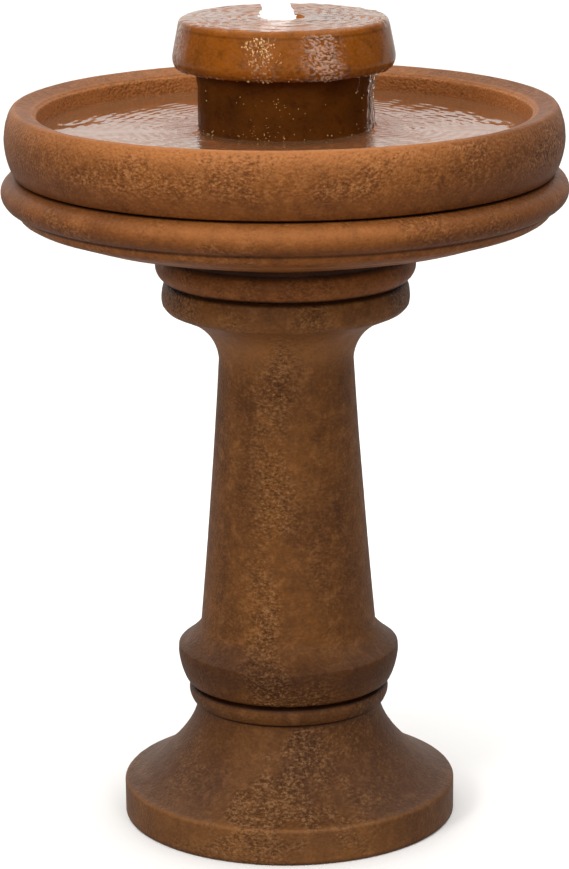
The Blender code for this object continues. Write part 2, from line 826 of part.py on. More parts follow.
def stator():
    """Laminated core round the sleeve, its coil below, and the resin that seals the back."""
    leg_gap = SLEEVE_R + SLEEVE_T + FIT_GAP
    leg_out = PUMP_W / 2 - MOTOR_WALL - 0.002
    core_front, core_back = MAGNET_Y + 0.0095, MAGNET_Y + 0.0285
    core_mid_y, core_l = (core_front + core_back) / 2, core_back - core_front
    core_low, core_high = PUMP_Z + MOTOR_WALL + 0.006, AXIS_Z + leg_gap
    core_top = min(core_high, PUMP_TOP_Z - MOTOR_WALL - 0.002)
    core = rounded_block(
        "stator_core",
        (2 * leg_out, core_l, core_top - core_low),
        (0, core_mid_y, (core_low + core_top) / 2),
        0,
        LAMINATION,
    )
    window_low = core_low + 0.008
    window = rounded_block(
        "core_window",
        (2 * leg_gap - 0.004, core_l * 2, core_top - window_low + 0.02),
        (0, core_mid_y, (window_low + core_top + 0.02) / 2),
        0,
        None,
    )
    cut_shape(core, window)
    cut_shape(core, along_axis("core_bore", leg_gap, core_front - 0.01, core_back + 0.01))
    coil_half = leg_gap - 0.003
    coil_grow = 0.0025
    coil = rounded_block(
        "stator_coil",
        (2 * coil_half, core_l + 4 * coil_grow, 0.008 + 2 * coil_grow),
        (0, core_mid_y, core_low + 0.004),
        0.002,
        WINDING,
    )
    coil_way = rounded_block(
        "coil_way",
        (0.1, core_l + 2 * FIT_GAP, 0.008 + 2 * FIT_GAP),
        (0, core_mid_y, core_low + 0.004),
        0,
        None,
    )
    cut_shape(coil, coil_way)
    plug_t = 0.004
    pump_block(
        "potting_resin",
        MOTOR_BACK_Y - plug_t,
        MOTOR_BACK_Y - FIT_GAP,
        0,
        RESIN,
        MOTOR_WALL + FIT_GAP,
    )


def cord_gland():
    """Gland nut on the back of the motor, where the cord enters."""
    gland_z = PUMP_Z + GLAND_RISE
    gland = rod(
        "cord_gland",
        GLAND_R,
        (0, MOTOR_BACK_Y + FIT_GAP, gland_z),
        (0, MOTOR_BACK_Y + 0.006, gland_z),
        PLASTIC,
        8,
    )
    nose = rod(
        "gland_nose",
        GLAND_R - 0.002,
        (0, MOTOR_BACK_Y + 0.005, gland_z),
        (0, MOTOR_BACK_Y + GLAND_L, gland_z),
    )
    join_shape(gland, nose)
    way = rod(
        "gland_way",
        CORD_R + CORD_CLEARANCE,
        (0, MOTOR_BACK_Y - 0.01, gland_z),
        (0, MOTOR_BACK_Y + GLAND_L + 0.01, gland_z),
        None,
        12,
    )
    cut_shape(gland, way)


def rotor():
    """Ferrite magnet and moulded impeller, on a ceramic shaft between two rubber bushes."""
    magnet_back = MAGNET_Y + MAGNET_L
    bore_r = SHAFT_R + SHAFT_CLEARANCE
    magnet = along_axis("rotor_magnet", MAGNET_R, MAGNET_Y, magnet_back, FERRITE)
    cut_shape(
        magnet, along_axis("magnet_bore", bore_r, MAGNET_Y - 0.01, magnet_back + 0.01, None, 12)
    )
    back_y = MAGNET_Y - FIT_GAP
    hub_front = back_y - IMPELLER_L
    disc_t = 0.0016
    impeller = along_axis("impeller", IMPELLER_R, back_y - disc_t, back_y, IMPELLER_PLASTIC, 24)
    join_shape(impeller, along_axis("impeller_hub", 0.0045, hub_front, back_y - disc_t / 2, None, 16))
    vane_in, vane_out = 0.0035, IMPELLER_R - 0.0008
    for i in range(VANES):
        vane = rounded_block(
            f"vane_{i + 1}",
            (vane_out - vane_in, IMPELLER_L - 0.002, 0.0014),
            (0, 0, 0),
            0,
            None,
        )
        vane.data.transform(Matrix.Translation(((vane_in + vane_out) / 2, 0, 0)))
        vane.rotation_euler = (0, math.tau * i / VANES, 0)
        vane.location = (0, (hub_front + back_y) / 2 + 0.0005, AXIS_Z)
        join_shape(impeller, vane)
    cut_shape(
        impeller, along_axis("impeller_bore", bore_r, hub_front - 0.01, back_y + 0.01, None, 12)
    )
    bush_l = 0.004
    shaft_front = VOLUTE_FRONT_Y + VOLUTE_WALL
    along_axis(
        "ceramic_shaft", SHAFT_R, shaft_front, SLEEVE_END_Y - 2 * FIT_GAP, CERAMIC, 12
    )
    for name, front in (
        ("front_shaft_bush", VOLUTE_FRONT_Y + VOLUTE_WALL + FIT_GAP),
        ("rear_shaft_bush", SLEEVE_END_Y - FIT_GAP - bush_l),
    ):
        back = front + (0.0012 if name.startswith("front") else bush_l)
        bush = along_axis(name, 0.0036, front, back, RUBBER, 12)
        cut_shape(
            bush, along_axis(f"{name}_bore", SHAFT_R + FIT_GAP / 2, front - 0.01, back + 0.01, None, 12)
        )


def volute():
    """Impeller chamber with its mounting plate, inlet holes and upright outlet spigot."""
    cover = pump_block(
        "volute_cover", VOLUTE_BACK_Y, VOLUTE_BACK_Y + PLATE_T, 0, PLASTIC
    )
    join_shape(cover, along_axis("volute_drum", VOLUTE_R, VOLUTE_FRONT_Y, VOLUTE_BACK_Y + 0.001, None, 24))
    spigot = rod("outlet_spigot", SPIGOT_R, (0, 0, AXIS_Z), (0, 0, SPIGOT_TOP_Z), None, 16)
    join_shape(cover, spigot)
    chamber_r = VOLUTE_R - VOLUTE_WALL
    cut_shape(
        cover,
        along_axis(
            "volute_chamber", chamber_r, VOLUTE_FRONT_Y + VOLUTE_WALL, VOLUTE_BACK_Y + PLATE_T + 0.01, None, 24
        ),
    )
    waterway = rod(
        "spigot_way", SPIGOT_R - SPIGOT_WALL, (0, 0, AXIS_Z + 0.012), (0, 0, SPIGOT_TOP_Z + 0.01), None, 16
    )
    cut_shape(cover, waterway)
    for i in range(6):
        angle = math.tau * i / 6
        x, z = 0.0085 * math.cos(angle), AXIS_Z + 0.0085 * math.sin(angle)
        cut_shape(
            cover,
            rod(
                f"inlet_hole_{i + 1}",
                0.003,
                (x, VOLUTE_FRONT_Y - 0.01, z),
                (x, VOLUTE_FRONT_Y + 0.006, z),
                None,
                10,
            ),
        )


def seal_ring():
    """Rubber ring that seals the volute to the motor, in the volute's mouth."""
    ring_r = VOLUTE_R - VOLUTE_WALL - 0.0012
    ring = turned(
        "volute_seal",
        arc(ring_r, 0, 0.0008, 0, -315, 8),
        RUBBER,
        24,
    )
    lay_along_y(ring, (0, VOLUTE_BACK_Y + PLATE_T - 0.001, AXIS_Z))


def strainer():
    """Slotted cover over the volute, notched at the top for the outlet."""
    cover = pump_block("strainer_cover", STRAINER_Y, STRAINER_BACK_Y, 0, PLASTIC)
    cut_shape(
        cover,
        pump_block(
            "strainer_hollow",
            STRAINER_Y + STRAINER_WALL,
            STRAINER_BACK_Y + 0.01,
            0,
            None,
            STRAINER_WALL,
        ),
    )
    pitch = (PUMP_W - 2 * PUMP_CORNER) / STRAINER_SLOTS
    for i in range(STRAINER_SLOTS):
        x = (i - (STRAINER_SLOTS - 1) / 2) * pitch
        cut_shape(
            cover,
            rounded_block(
                f"strainer_slot_{i + 1}",
                (SLOT_W, 4 * STRAINER_WALL, PUMP_H * 0.28),
                (x, STRAINER_Y, PUMP_TOP_Z - PUMP_H * 0.24),
                0,
                None,
            ),
        )
    outlet_w = 2 * (SPIGOT_R + 0.001)
    notch_front = -SPIGOT_R - 0.001
    cut_shape(
        cover,
        rounded_block(
            "outlet_notch",
            (outlet_w, STRAINER_BACK_Y + 0.01 - notch_front, 6 * STRAINER_WALL),
            (0, (notch_front + STRAINER_BACK_Y + 0.01) / 2, PUMP_TOP_Z),
            0,
            None,
        ),
    )
    dial_z = dial_height()
    cut_shape(
        cover,
        rod(
            "dial_hole",
            0.0034 + FIT_GAP,
            (0, STRAINER_Y - 0.01, dial_z),
            (0, STRAINER_Y + 0.01, dial_z),
            None,
            16,
        ),
    )
    return cover


def dial_height():
    return PUMP_Z + DIAL_R + 0.006


def flow_dial():
    """Flow regulator on the strainer's face: a grip bar on a disc, with a stem and an inner collar."""
    z = dial_height()
    front = STRAINER_Y - FIT_GAP
    dial = rod("flow_dial", DIAL_R, (0, front - DIAL_T / 2, z), (0, front, z), PLASTIC, 20)
    grip = rounded_block(
        "dial_grip",
        (0.0034, DIAL_T, 2 * DIAL_R - 0.003),
        (0, front - DIAL_T / 2 - DIAL_GRIP, z),
        0,
        None,
    )
    join_shape(dial, grip)
    inner = STRAINER_Y + STRAINER_WALL + FIT_GAP
    join_shape(dial, rod("dial_stem", 0.0034, (0, front - 0.001, z), (0, inner + 0.001, z), None, 16))
    join_shape(dial, rod("dial_collar", 0.0055, (0, inner, z), (0, inner + 0.0015, z), None, 16))
    return dial


def main():
    pedestal_base()
    pedestal_column()
    bowl()
    fountain_cap()
    levelling_pads()
    drain_stopper()
    nozzle()
    hose_and_adapter()
    hose_clamp()
    motor_feet(motor_housing())
    stator()
    cord_gland()
    rotor()
    volute()
    seal_ring()
    strainer()
    flow_dial()


main()
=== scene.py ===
"""Cast stone pedestal fountain, running: turned castings, water, plumbing finishes and a studio."""

import math
import random

import bmesh
import bpy
import numpy as np
from bpy.props import (
    BoolProperty,
    FloatProperty,
    FloatVectorProperty,
    IntProperty,
    PointerProperty,
)
from mathutils import Euler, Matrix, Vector, noise


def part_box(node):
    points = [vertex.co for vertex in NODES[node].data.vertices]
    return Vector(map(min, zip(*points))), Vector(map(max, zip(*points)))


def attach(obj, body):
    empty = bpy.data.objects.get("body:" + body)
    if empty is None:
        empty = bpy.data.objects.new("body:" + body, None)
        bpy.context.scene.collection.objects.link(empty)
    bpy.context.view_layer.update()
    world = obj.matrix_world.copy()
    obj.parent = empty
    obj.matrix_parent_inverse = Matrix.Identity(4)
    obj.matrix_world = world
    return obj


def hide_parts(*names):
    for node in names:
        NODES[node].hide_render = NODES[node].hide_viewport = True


bl_info = {
    "name": "Cast Stone Pedestal Fountain",
    "version": (1, 0, 0),
    "blender": (4, 5, 0),
    "location": "3D View > Sidebar > Fountain",
    "description": "Builds the stone, water and metal finishes of a pedestal fountain",
    "category": "Object",
}

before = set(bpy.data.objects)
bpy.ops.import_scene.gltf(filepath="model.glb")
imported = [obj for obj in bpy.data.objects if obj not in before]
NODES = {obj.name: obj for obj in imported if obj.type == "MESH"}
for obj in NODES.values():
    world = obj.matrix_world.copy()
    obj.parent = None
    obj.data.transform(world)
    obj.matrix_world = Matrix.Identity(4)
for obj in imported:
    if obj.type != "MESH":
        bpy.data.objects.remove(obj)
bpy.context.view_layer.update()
JETTING_SEED = 11
SPRAY_DROPS = 420

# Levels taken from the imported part, in metres.
BASE_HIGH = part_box("pedestal_base")[1]
COLUMN_LOW, COLUMN_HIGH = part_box("pedestal_column")
BOWL_LOW, BOWL_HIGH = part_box("bowl")
CAP_LOW, CAP_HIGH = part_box("fountain_cap")
SEAT_LIP = 0.008
BASE_SEAT_Z = BASE_HIGH.z - SEAT_LIP
COLUMN_FOOT_Z = COLUMN_LOW.z
CAPITAL_Z = COLUMN_HIGH.z - SEAT_LIP
BOWL_FOOT_Z = BOWL_LOW.z
RIM_Z = BOWL_HIGH.z
CAP_TOP_Z = CAP_HIGH.z
CAP_FOOT_Z = CAP_LOW.z
BOWL_FLOOR_Z = RIM_Z - 0.1335
DRUM_LOW_Z = CAP_TOP_Z - 0.056

# Radii and small sizes that several pieces share, in metres.
STEM_R = 0.100
PIPE_HOLE_R = 0.01335
CHAMBER_R = 0.078
FLOOR_EDGE_R = 0.1666
WALL_LOW_R, WALL_TOP_R = 0.2826, 0.2866
WALL_LOW_Z, WALL_TOP_Z = BOWL_FLOOR_Z + 0.062, RIM_Z - 0.010
CAST_EDGE_R = 0.0016
WATER_IOR = 1.333


# ------------------------------------------------------------------ settings
def paint(name, description, default):
    """A colour that the user can change."""
    return FloatVectorProperty(
        name=name, description=description, subtype="COLOR", size=3, min=0.0, max=1.0, default=default
    )


def distance(name, description, default, least, most):
    """A length in metres that the user can change."""
    return FloatProperty(
        name=name,
        description=description,
        subtype="DISTANCE",
        unit="LENGTH",
        default=default,
        min=least,
        max=most,
    )


def power(name, description, default):
    """A lamp's power in watts that the user can change."""
    return FloatProperty(
        name=name, description=description, unit="POWER", default=default, min=0.0, max=2000.0
    )


class StoneSettings(bpy.types.PropertyGroup):
    """Colours and relief of the cast stone."""

    ochre: paint("Ochre", "Main patina colour", (0.220, 0.073, 0.0150))
    # Umber is the patina's darker colour, and also painted shade on sides and lower faces
    umber: paint("Umber", "Darker wash that lies in the patina", (0.085, 0.026, 0.0080))
    # Clay lies in random mottles, and is also painted light on upward faces, edges, the bowl's inside and
    # the column's neck
    clay: paint("Clay", "Pinkish bloom on upward faces and edges", (0.400, 0.146, 0.042))
    fleck: paint("Fleck", "Light sand grains that stand proud of the patina", (0.440, 0.200, 0.075))
    # Soot is also painted shade: it darkens undersides, joints and the cap's stem
    soot_and_shade: paint("Dirt", "Dirt in grooves and pits", (0.020, 0.006, 0.003))
    honey: paint("Honey", "Colour of the wet cap", (0.370, 0.112, 0.007))
    relief: distance("Relief", "Height of the cast grain", 0.0005, 0.0, 0.003)
    rows: distance("Row height", "Distance between rows of faces on a casting", 0.0030, 0.001, 0.02)


class WaterSettings(bpy.types.PropertyGroup):
    """Level, ripples and jet of the running water."""

    level: distance("Level below rim", "From the rim down to the water in the bowl", 0.0275, 0.005, 0.1)
    ripple: distance("Ripple", "Height of the rings that spread from the stem", 0.00030, 0.0, 0.003)
    jet_height: distance("Jet height", "Height of the froth above the cap", 0.0365, 0.005, 0.038)
    jet_radius: distance("Jet radius", "Radius of the froth where it leaves the cap", 0.0170, 0.005, 0.06)
    beads: IntProperty(
        name="Beads",
        description="Drops of water that cling to the cap and its stem",
        default=460,
        min=0,
        max=2000,
    )
    # the jet in this colour glows a little, as painted light
    froth_and_painted_light: paint("Froth", "Colour of the aerated water", (0.90, 0.92, 0.93))


class StudioSettings(bpy.types.PropertyGroup):
    """Floor and lamps."""

    floor_size: distance("Floor size", "Width of the pale floor", 40.0, 2.0, 100.0)
    floor_colour: paint("Floor", "Colour of the pale floor", (0.95, 0.95, 0.95))
    key_power: power("Key lamp", "Power of the large lamp at the front left", 66.0)
    fill_power: power("Fill lamp", "Power of the soft lamp overhead", 16.0)
    glint_power: power("Glint lamp", "Power of the small lamp at the front right", 12.0)
    sky: FloatProperty(
        name="Sky",
        description="Brightness of the white surroundings",
        default=1.0,
        min=0.0,
        max=5.0,
    )
    show_camera: BoolProperty(
        name="Camera",
        description="Adds the camera with the stage",
        default=True,
    )


# ------------------------------------------------------------------ profiles
def sweep(start, pull, end, count=12):
    """Profile points (r, z) on a curve that leaves start and reaches end along lines through pull."""
    found = []
    for i in range(count):
        t = i / (count - 1)
        r = (1 - t) ** 2 * start[0] + 2 * t * (1 - t) * pull[0] + t * t * end[0]
        z = (1 - t) ** 2 * start[1] + 2 * t * (1 - t) * pull[1] + t * t * end[1]
        found.append((r, z))
    return found


def round_stretch(centre, radius, first, last, count=16):
    """Profile points on a round stretch, from one angle to another in degrees."""
    found = []
    for i in range(count):
        a = math.radians(first + (last - first) * i / (count - 1))
        found.append((centre[0] + radius * math.cos(a), centre[1] + radius * math.sin(a)))
    return found


def eased(profile, radius):
    """The closed profile with each corner rounded, as wear and the mould leave it."""
    points = []
    for p in profile:
        if not points or math.dist(p, points[-1]) > 1e-6:
            points.append(p)
    found = []
    count = len(points)
    for i, p in enumerate(points):
        before, after = points[i - 1], points[(i + 1) % count]
        left = (before[0] - p[0], before[1] - p[1])
        right = (after[0] - p[0], after[1] - p[1])
        l_len, r_len = math.hypot(*left), math.hypot(*right)
        turn = (left[0] * right[0] + left[1] * right[1]) / (l_len * r_len)
        if turn < -0.97:
            found.append(p)
            continue
        reach = min(radius, 0.4 * l_len, 0.4 * r_len)
        start = (p[0] + left[0] / l_len * reach, p[1] + left[1] / l_len * reach)
        end = (p[0] + right[0] / r_len * reach, p[1] + right[1] / r_len * reach)
        found.extend(sweep(start, p, end, 4))
    return found


def spaced(profile, step, hidden_step=None, is_hidden=None):
    """The closed profile with points no further apart than step, or hidden_step out of sight."""
    found = []
    count = len(profile)
    for i, a in enumerate(profile):
        b = profile[(i + 1) % count]
        span = math.dist(a, b)
        longest = step
        if is_hidden and is_hidden((a[0] + b[0]) / 2, (a[1] + b[1]) / 2):
            longest = hidden_step
        pieces = max(1, round(span / longest))
        for k in range(pieces):
            t = k / pieces
            found.append((a[0] + (b[0] - a[0]) * t, a[1] + (b[1] - a[1]) * t))
    return found


def base_profile():
    """The base: seat, ring, flare and plinth, then its hollow."""
    seat, ring_low, bend = BASE_SEAT_Z, BASE_SEAT_Z - 0.0225, (0.1435, 0.079)
    return [
        (0.080, seat + SEAT_LIP),
        (0.091, seat + SEAT_LIP),
        (0.091, seat),
        (0.114, seat),
        *sweep((0.118, seat - 0.0015), (0.121, seat - 0.008), (0.118, ring_low + 0.007), 8),
        (0.1155, ring_low + 0.0015),
        (0.1105, ring_low),
        *sweep((0.1095, ring_low - 0.004), (0.1145, bend[1] + 0.030), bend, 14),
        *sweep(bend, (0.1675, 0.0555), (0.190, 0.046), 12)[1:],
        (0.197, 0.044),
        (0.199, 0.041),
        (0.199, 0.002),
        (0.197, 0.0),
        (0.170, 0.0),
        (0.170, 0.021),
        (0.0955, seat - 0.053),
        (0.080, seat - 0.033),
    ]


def column_profile():
    """The column: locating ring, capital, shaft and lower moulding, then its bore."""
    low, top = COLUMN_FOOT_Z, CAPITAL_Z
    slab_low, sweep_low = top - 0.034, top - 0.094
    bulge_top = low + 0.0505
    shaft_low = bulge_top + 0.027
    mid_r = (0.104 + 0.0795) / 2 - 0.0022
    return [
        (0.085, top + SEAT_LIP),
        (0.096, top + SEAT_LIP),
        (0.096, top),
        (0.140, top),
        *sweep((0.143, top - 0.0035), (0.1475, top - 0.017), (0.1445, top - 0.028), 10),
        (0.1395, slab_low),
        *sweep((0.1255, slab_low - 0.006), (0.083, slab_low - 0.023), (0.0795, sweep_low), 18),
        *sweep((0.0807, sweep_low - 0.02), (mid_r, (sweep_low + shaft_low) / 2), (0.104, shaft_low), 12),
        *sweep((0.1045, shaft_low - 0.006), (0.109, bulge_top + 0.012), (0.124, bulge_top), 10),
        (0.1315, bulge_top - 0.0055),
        *sweep((0.132, bulge_top - 0.014), (0.130, low + 0.018), (0.1225, low + 0.004), 10),
        (0.1165, low),
        (0.095, low),
        (0.095, low + 0.012),
        (0.080, bulge_top),
        (0.0555, sweep_low),
        (0.0555, slab_low),
    ]


def bowl_profile():
    """The bowl: rim, body, groove, bead, underside and foot, then its inside."""
    rim, low = RIM_Z, BOWL_FOOT_Z
    groove_z = rim - 0.078
    bead = (0.313, groove_z - 0.020)
    bead_low = bead[1] - 0.017
    under_z, under_edge_z = rim - 0.1295, rim - 0.144
    foot_top = low + 0.032
    return [
        (0.2906, rim - 0.0065),
        (0.3115, rim),
        (0.3155, rim - 0.0015),
        *sweep((0.3185, rim - 0.0065), (0.331, rim - 0.0375), (0.318, groove_z + 0.0085), 18),
        (0.3135, groove_z + 0.001),
        (0.306, groove_z + 0.001),
        (0.306, groove_z - 0.0015),
        (0.313, groove_z - 0.002),
        *round_stretch(bead, 0.017, 68, -64, 18),
        (0.3125, bead_low - 0.0005),
        (0.312, bead_low - 0.0045),
        (0.3085, under_z + 0.004),
        (0.302, under_z),
        (0.258, under_edge_z),
        (0.252, under_edge_z + 0.0015),
        (0.165, foot_top + 0.013),
        (0.148, foot_top + 0.004),
        (0.147, foot_top),
        *sweep((0.151, foot_top - 0.007), (0.1555, foot_top - 0.018), (0.1485, low + 0.005), 10),
        (0.1435, low),
        (0.100, low),
        (0.098, BOWL_FLOOR_Z - 0.028),
        (0.019, BOWL_FLOOR_Z - 0.028),
        (0.019, BOWL_FLOOR_Z),
        (FLOOR_EDGE_R, BOWL_FLOOR_Z),
        *bowl_inner_curve(0.0),
        (WALL_TOP_R, WALL_TOP_Z),
    ]


def bowl_inner_curve(grow):
    """The bowl's hollow between its floor and its wall, grown outwards by grow."""
    return sweep(
        (0.2406 + grow, BOWL_FLOOR_Z + 0.012),
        (0.2806 + grow, BOWL_FLOOR_Z + 0.020),
        (WALL_LOW_R + grow, WALL_LOW_Z),
        14,
    )


def cap_outside():
    """The outside of the cap, from its pipe hole over the drum and down the stem."""
    top, low = CAP_TOP_Z, DRUM_LOW_Z
    return [
        (PIPE_HOLE_R, top - 0.006),
        (0.020, top - 0.006),
        (0.024, top),
        (0.1157, top),
        (0.1197, top - 0.002),
        (0.1217, top - 0.008),
        *sweep((0.1275, low + 0.018), (0.1305, low + 0.005), (0.123, low + 0.001), 10),
        (0.107, low),
        (0.1025, low - 0.007),
        (STEM_R, low - 0.022),
        (STEM_R, CAP_FOOT_Z + 0.003),
        (0.097, CAP_FOOT_Z),
    ]


def cap_profile():
    """The cap's outside, then its hollow chamber."""
    roof = CAP_TOP_Z - 0.026
    return [
        *cap_outside(),
        (CHAMBER_R, CAP_FOOT_Z),
        (CHAMBER_R, roof - 0.010),
        (0.068, roof),
        (PIPE_HOLE_R, roof),
    ]


# ------------------------------------------------------------------ turning
def smoothstep(low, high, value):
    """0 below low, 1 above high, and a soft rise between them."""
    t = np.clip((value - low) / (high - low), 0.0, 1.0)
    return t * t * (3 - 2 * t)


def hump(value, centre, width):
    """1 at the centre, and down to 0 a few widths away from it."""
    return np.exp(-(((value - centre) / width) ** 2))


def from_axis(points):
    """Distance of each point from the upright axis."""
    return np.hypot(points[:, 0], points[:, 1])


def beside(turn):
    """1 at the fountain's two sides and 0 at its front and back, for angles in degrees."""
    return np.abs(np.cos(np.radians(turn)))


def field(points, size, seed=0.0):
    """Smooth random field from about -1 to 1, with lumps about size across."""
    scale = 1.0 / size
    shift = seed * 17.31
    return np.array(
        [noise.noise((x * scale + shift, y * scale - shift, z * scale + shift)) for x, y, z in points]
    )


def mesh_from_grid(name, points, rows, columns, wrap_rows=True):
    """A mesh of quads over rows by columns of points. Columns always close into a ring."""
    mesh = bpy.data.meshes.new(name)
    r_count = rows if wrap_rows else rows - 1
    r = np.arange(r_count)[:, None]
    c = np.arange(columns)[None, :]
    r_next, c_next = (r + 1) % rows, (c + 1) % columns
    quads = np.stack(
        [
            (r * columns + c).ravel(),
            (r * columns + c_next).ravel(),
            (r_next * columns + c_next).ravel(),
            (r_next * columns + c).ravel(),
        ],
        axis=1,
    )
    mesh.vertices.add(len(points))
    mesh.vertices.foreach_set("co", points.astype(np.float32).ravel())
    mesh.loops.add(quads.size)
    mesh.loops.foreach_set("vertex_index", quads.astype(np.int32).ravel())
    mesh.polygons.add(len(quads))
    mesh.polygons.foreach_set("loop_start", np.arange(0, quads.size, 4, dtype=np.int32))
    mesh.polygons.foreach_set("use_smooth", np.ones(len(quads), dtype=bool))
    mesh.update(calc_edges=True)
    return mesh


def outward(profile):
    """Unit normals (r, z) of a closed profile that runs down its outside."""
    p = np.array(profile)
    along = np.roll(p, -1, axis=0) - np.roll(p, 1, axis=0)
    along /= np.maximum(np.linalg.norm(along, axis=1, keepdims=True), 1e-9)
    return np.stack([-along[:, 1], along[:, 0]], axis=1)


def ring_points(profile, columns, edges=None):
    """Points of the profile turned about the upright axis, with their normals and angles."""
    p = np.array(profile)
    n = outward(profile) if edges is None else edges
    angle = np.linspace(0.0, math.tau, columns, endpoint=False)
    cos, sin = np.cos(angle)[None, :], np.sin(angle)[None, :]
    rr, zz = p[:, 0:1], np.repeat(p[:, 1:2], columns, axis=1)
    points = np.stack([(rr * cos).ravel(), (rr * sin).ravel(), zz.ravel()], axis=1)
    nz = np.repeat(n[:, 1:2], columns, axis=1)
    normals = np.stack([(n[:, 0:1] * cos).ravel(), (n[:, 0:1] * sin).ravel(), nz.ravel()], axis=1)
    return points, normals, np.tile(angle, len(p))


def add_field(mesh, name, values):
    """Stores one number for each point, for a finish to read."""
    layer = mesh.attributes.new(name, "FLOAT", "POINT")
    layer.data.foreach_set("value", np.asarray(values, dtype=np.float32))


def add_piece(name, mesh, finish, body):
    """Puts a mesh in the scene in its finish, riding on a body."""
    piece = bpy.data.objects.new(name, mesh)
    bpy.context.scene.collection.objects.link(piece)
    mesh.materials.append(finish)
    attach(piece, body)
    return piece


def face_outwards(mesh):
    """Turns every face outwards, and fuses points that fall on each other."""
    work = bmesh.new()
    work.from_mesh(mesh)
    bmesh.ops.remove_doubles(work, verts=work.verts, dist=1e-6)
    bmesh.ops.dissolve_degenerate(work, edges=work.edges, dist=1e-7)
    bmesh.ops.recalc_face_normals(work, faces=work.faces)
    work.to_mesh(mesh)
    work.free()


def raise_foot(points, normals, level):
    """Lifts what lies below level, so that a passage is left under a casting."""
    low = points[:, 2] < level
    points[low, 2] = level[low]
    normals[low] = 0.0
    return points


def grain_patches(points, stretch, seed):
    """Where the grain shows through the patina, from 0 to 1."""
    squeezed = points * np.array([1.0, 1.0, stretch])
    broad = field(squeezed, 0.085, seed)
    fine = field(points, 0.022, seed + 3)
    return smoothstep(-0.02, 0.30, broad + 0.45 * fine)


def lay_grain(points, normals, strength, settings, seed):
    """Moves the points out and in by the cast grain."""
    pebble = field(points, 0.0085, seed) * 0.6 + field(points, 0.0050, seed + 5) * 0.4
    swell = field(points, 0.060, seed + 9)
    height = settings.relief * (strength * pebble * 1.7 + 0.45 * swell + 0.16 * pebble)
    points += normals * height[:, None]
    return pebble


# ------------------------------------------------------------------ node helpers
def new_finish(name):
    """A new material, with its tree and its shader."""
    finish = bpy.data.materials.new(name)
    finish.use_nodes = True
    tree = finish.node_tree
    return finish, tree, tree.nodes["Principled BSDF"]


def node(tree, kind, **values):
    """A new node with some of its settings."""
    made = tree.nodes.new(kind)
    for key, value in values.items():
        setattr(made, key, value)
    return made


def noise_node(tree, scale, detail=4.0, rough=0.55, stretch=(1, 1, 1)):
    """Cloudy noise over the piece. A stretch under 1 draws it out along that axis."""
    place = node(tree, "ShaderNodeTexCoord")
    mapping = node(tree, "ShaderNodeMapping")
    mapping.inputs["Scale"].default_value = stretch
    texture = node(tree, "ShaderNodeTexNoise")
    texture.inputs["Scale"].default_value = scale
    texture.inputs["Detail"].default_value = detail
    texture.inputs["Roughness"].default_value = rough
    tree.links.new(place.outputs["Object"], mapping.inputs["Vector"])
    tree.links.new(mapping.outputs["Vector"], texture.inputs["Vector"])
    return texture.outputs["Fac"]


def cell_node(tree, scale):
    """Distance from the middles of scattered cells, like packed sand."""
    place = node(tree, "ShaderNodeTexCoord")
    texture = node(tree, "ShaderNodeTexVoronoi", feature="F1")
    texture.inputs["Scale"].default_value = scale
    tree.links.new(place.outputs["Object"], texture.inputs["Vector"])
    return texture.outputs["Distance"]


def ramp(tree, source, low, high):
    """source spread softly so that low gives 0 and high gives 1."""
    spread = node(tree, "ShaderNodeMapRange", interpolation_type="SMOOTHSTEP")
    spread.inputs["From Min"].default_value = low
    spread.inputs["From Max"].default_value = high
    tree.links.new(source, spread.inputs["Value"])
    return spread.outputs["Result"]


def between(tree, low, high, source):
    """A value that goes from low to high as source goes from 0 to 1."""
    spread = node(tree, "ShaderNodeMapRange")
    spread.inputs["To Min"].default_value = low
    spread.inputs["To Max"].default_value = high
    tree.links.new(source, spread.inputs["Value"])
    return spread.outputs["Result"]


def sums(tree, operation, a, b):
    """Two values, each a number or a socket, put together by a Math node."""
    made = node(tree, "ShaderNodeMath", operation=operation)
    for socket, value in zip(made.inputs, (a, b)):
        if isinstance(value, (int, float)):
            socket.default_value = value
        else:
            tree.links.new(value, socket)
    return made.outputs["Value"]


def times(tree, a, b):
    """One value times another."""
    return sums(tree, "MULTIPLY", a, b)


def tint(tree, share, first, second):
    """Mixes two colours, either of which may be a socket, by a share from 0 to 1."""
    made = node(tree, "ShaderNodeMix", data_type="RGBA")
    tree.links.new(share, made.inputs["Factor"])
    sockets = [s for s in made.inputs if s.type == "RGBA"]
    for socket, value in zip(sockets, (first, second)):
        if isinstance(value, bpy.types.NodeSocket):
            tree.links.new(value, socket)
        else:
            socket.default_value = (*value, 1.0)
    return [s for s in made.outputs if s.type == "RGBA"][0]


def painted(tree, name):
    """The numbers that add_field stored under this name."""
    layer = node(tree, "ShaderNodeAttribute", attribute_name=name)
    return layer.outputs["Fac"]


def bump(tree, shader, height, strength, depth):
    """Fine relief from a height, this deep in metres where the height is 1."""
    made = node(tree, "ShaderNodeBump")
    made.inputs["Strength"].default_value = strength
    made.inputs["Distance"].default_value = depth
    tree.links.new(height, made.inputs["Height"])
    tree.links.new(made.outputs["Normal"], shader.inputs["Normal"])


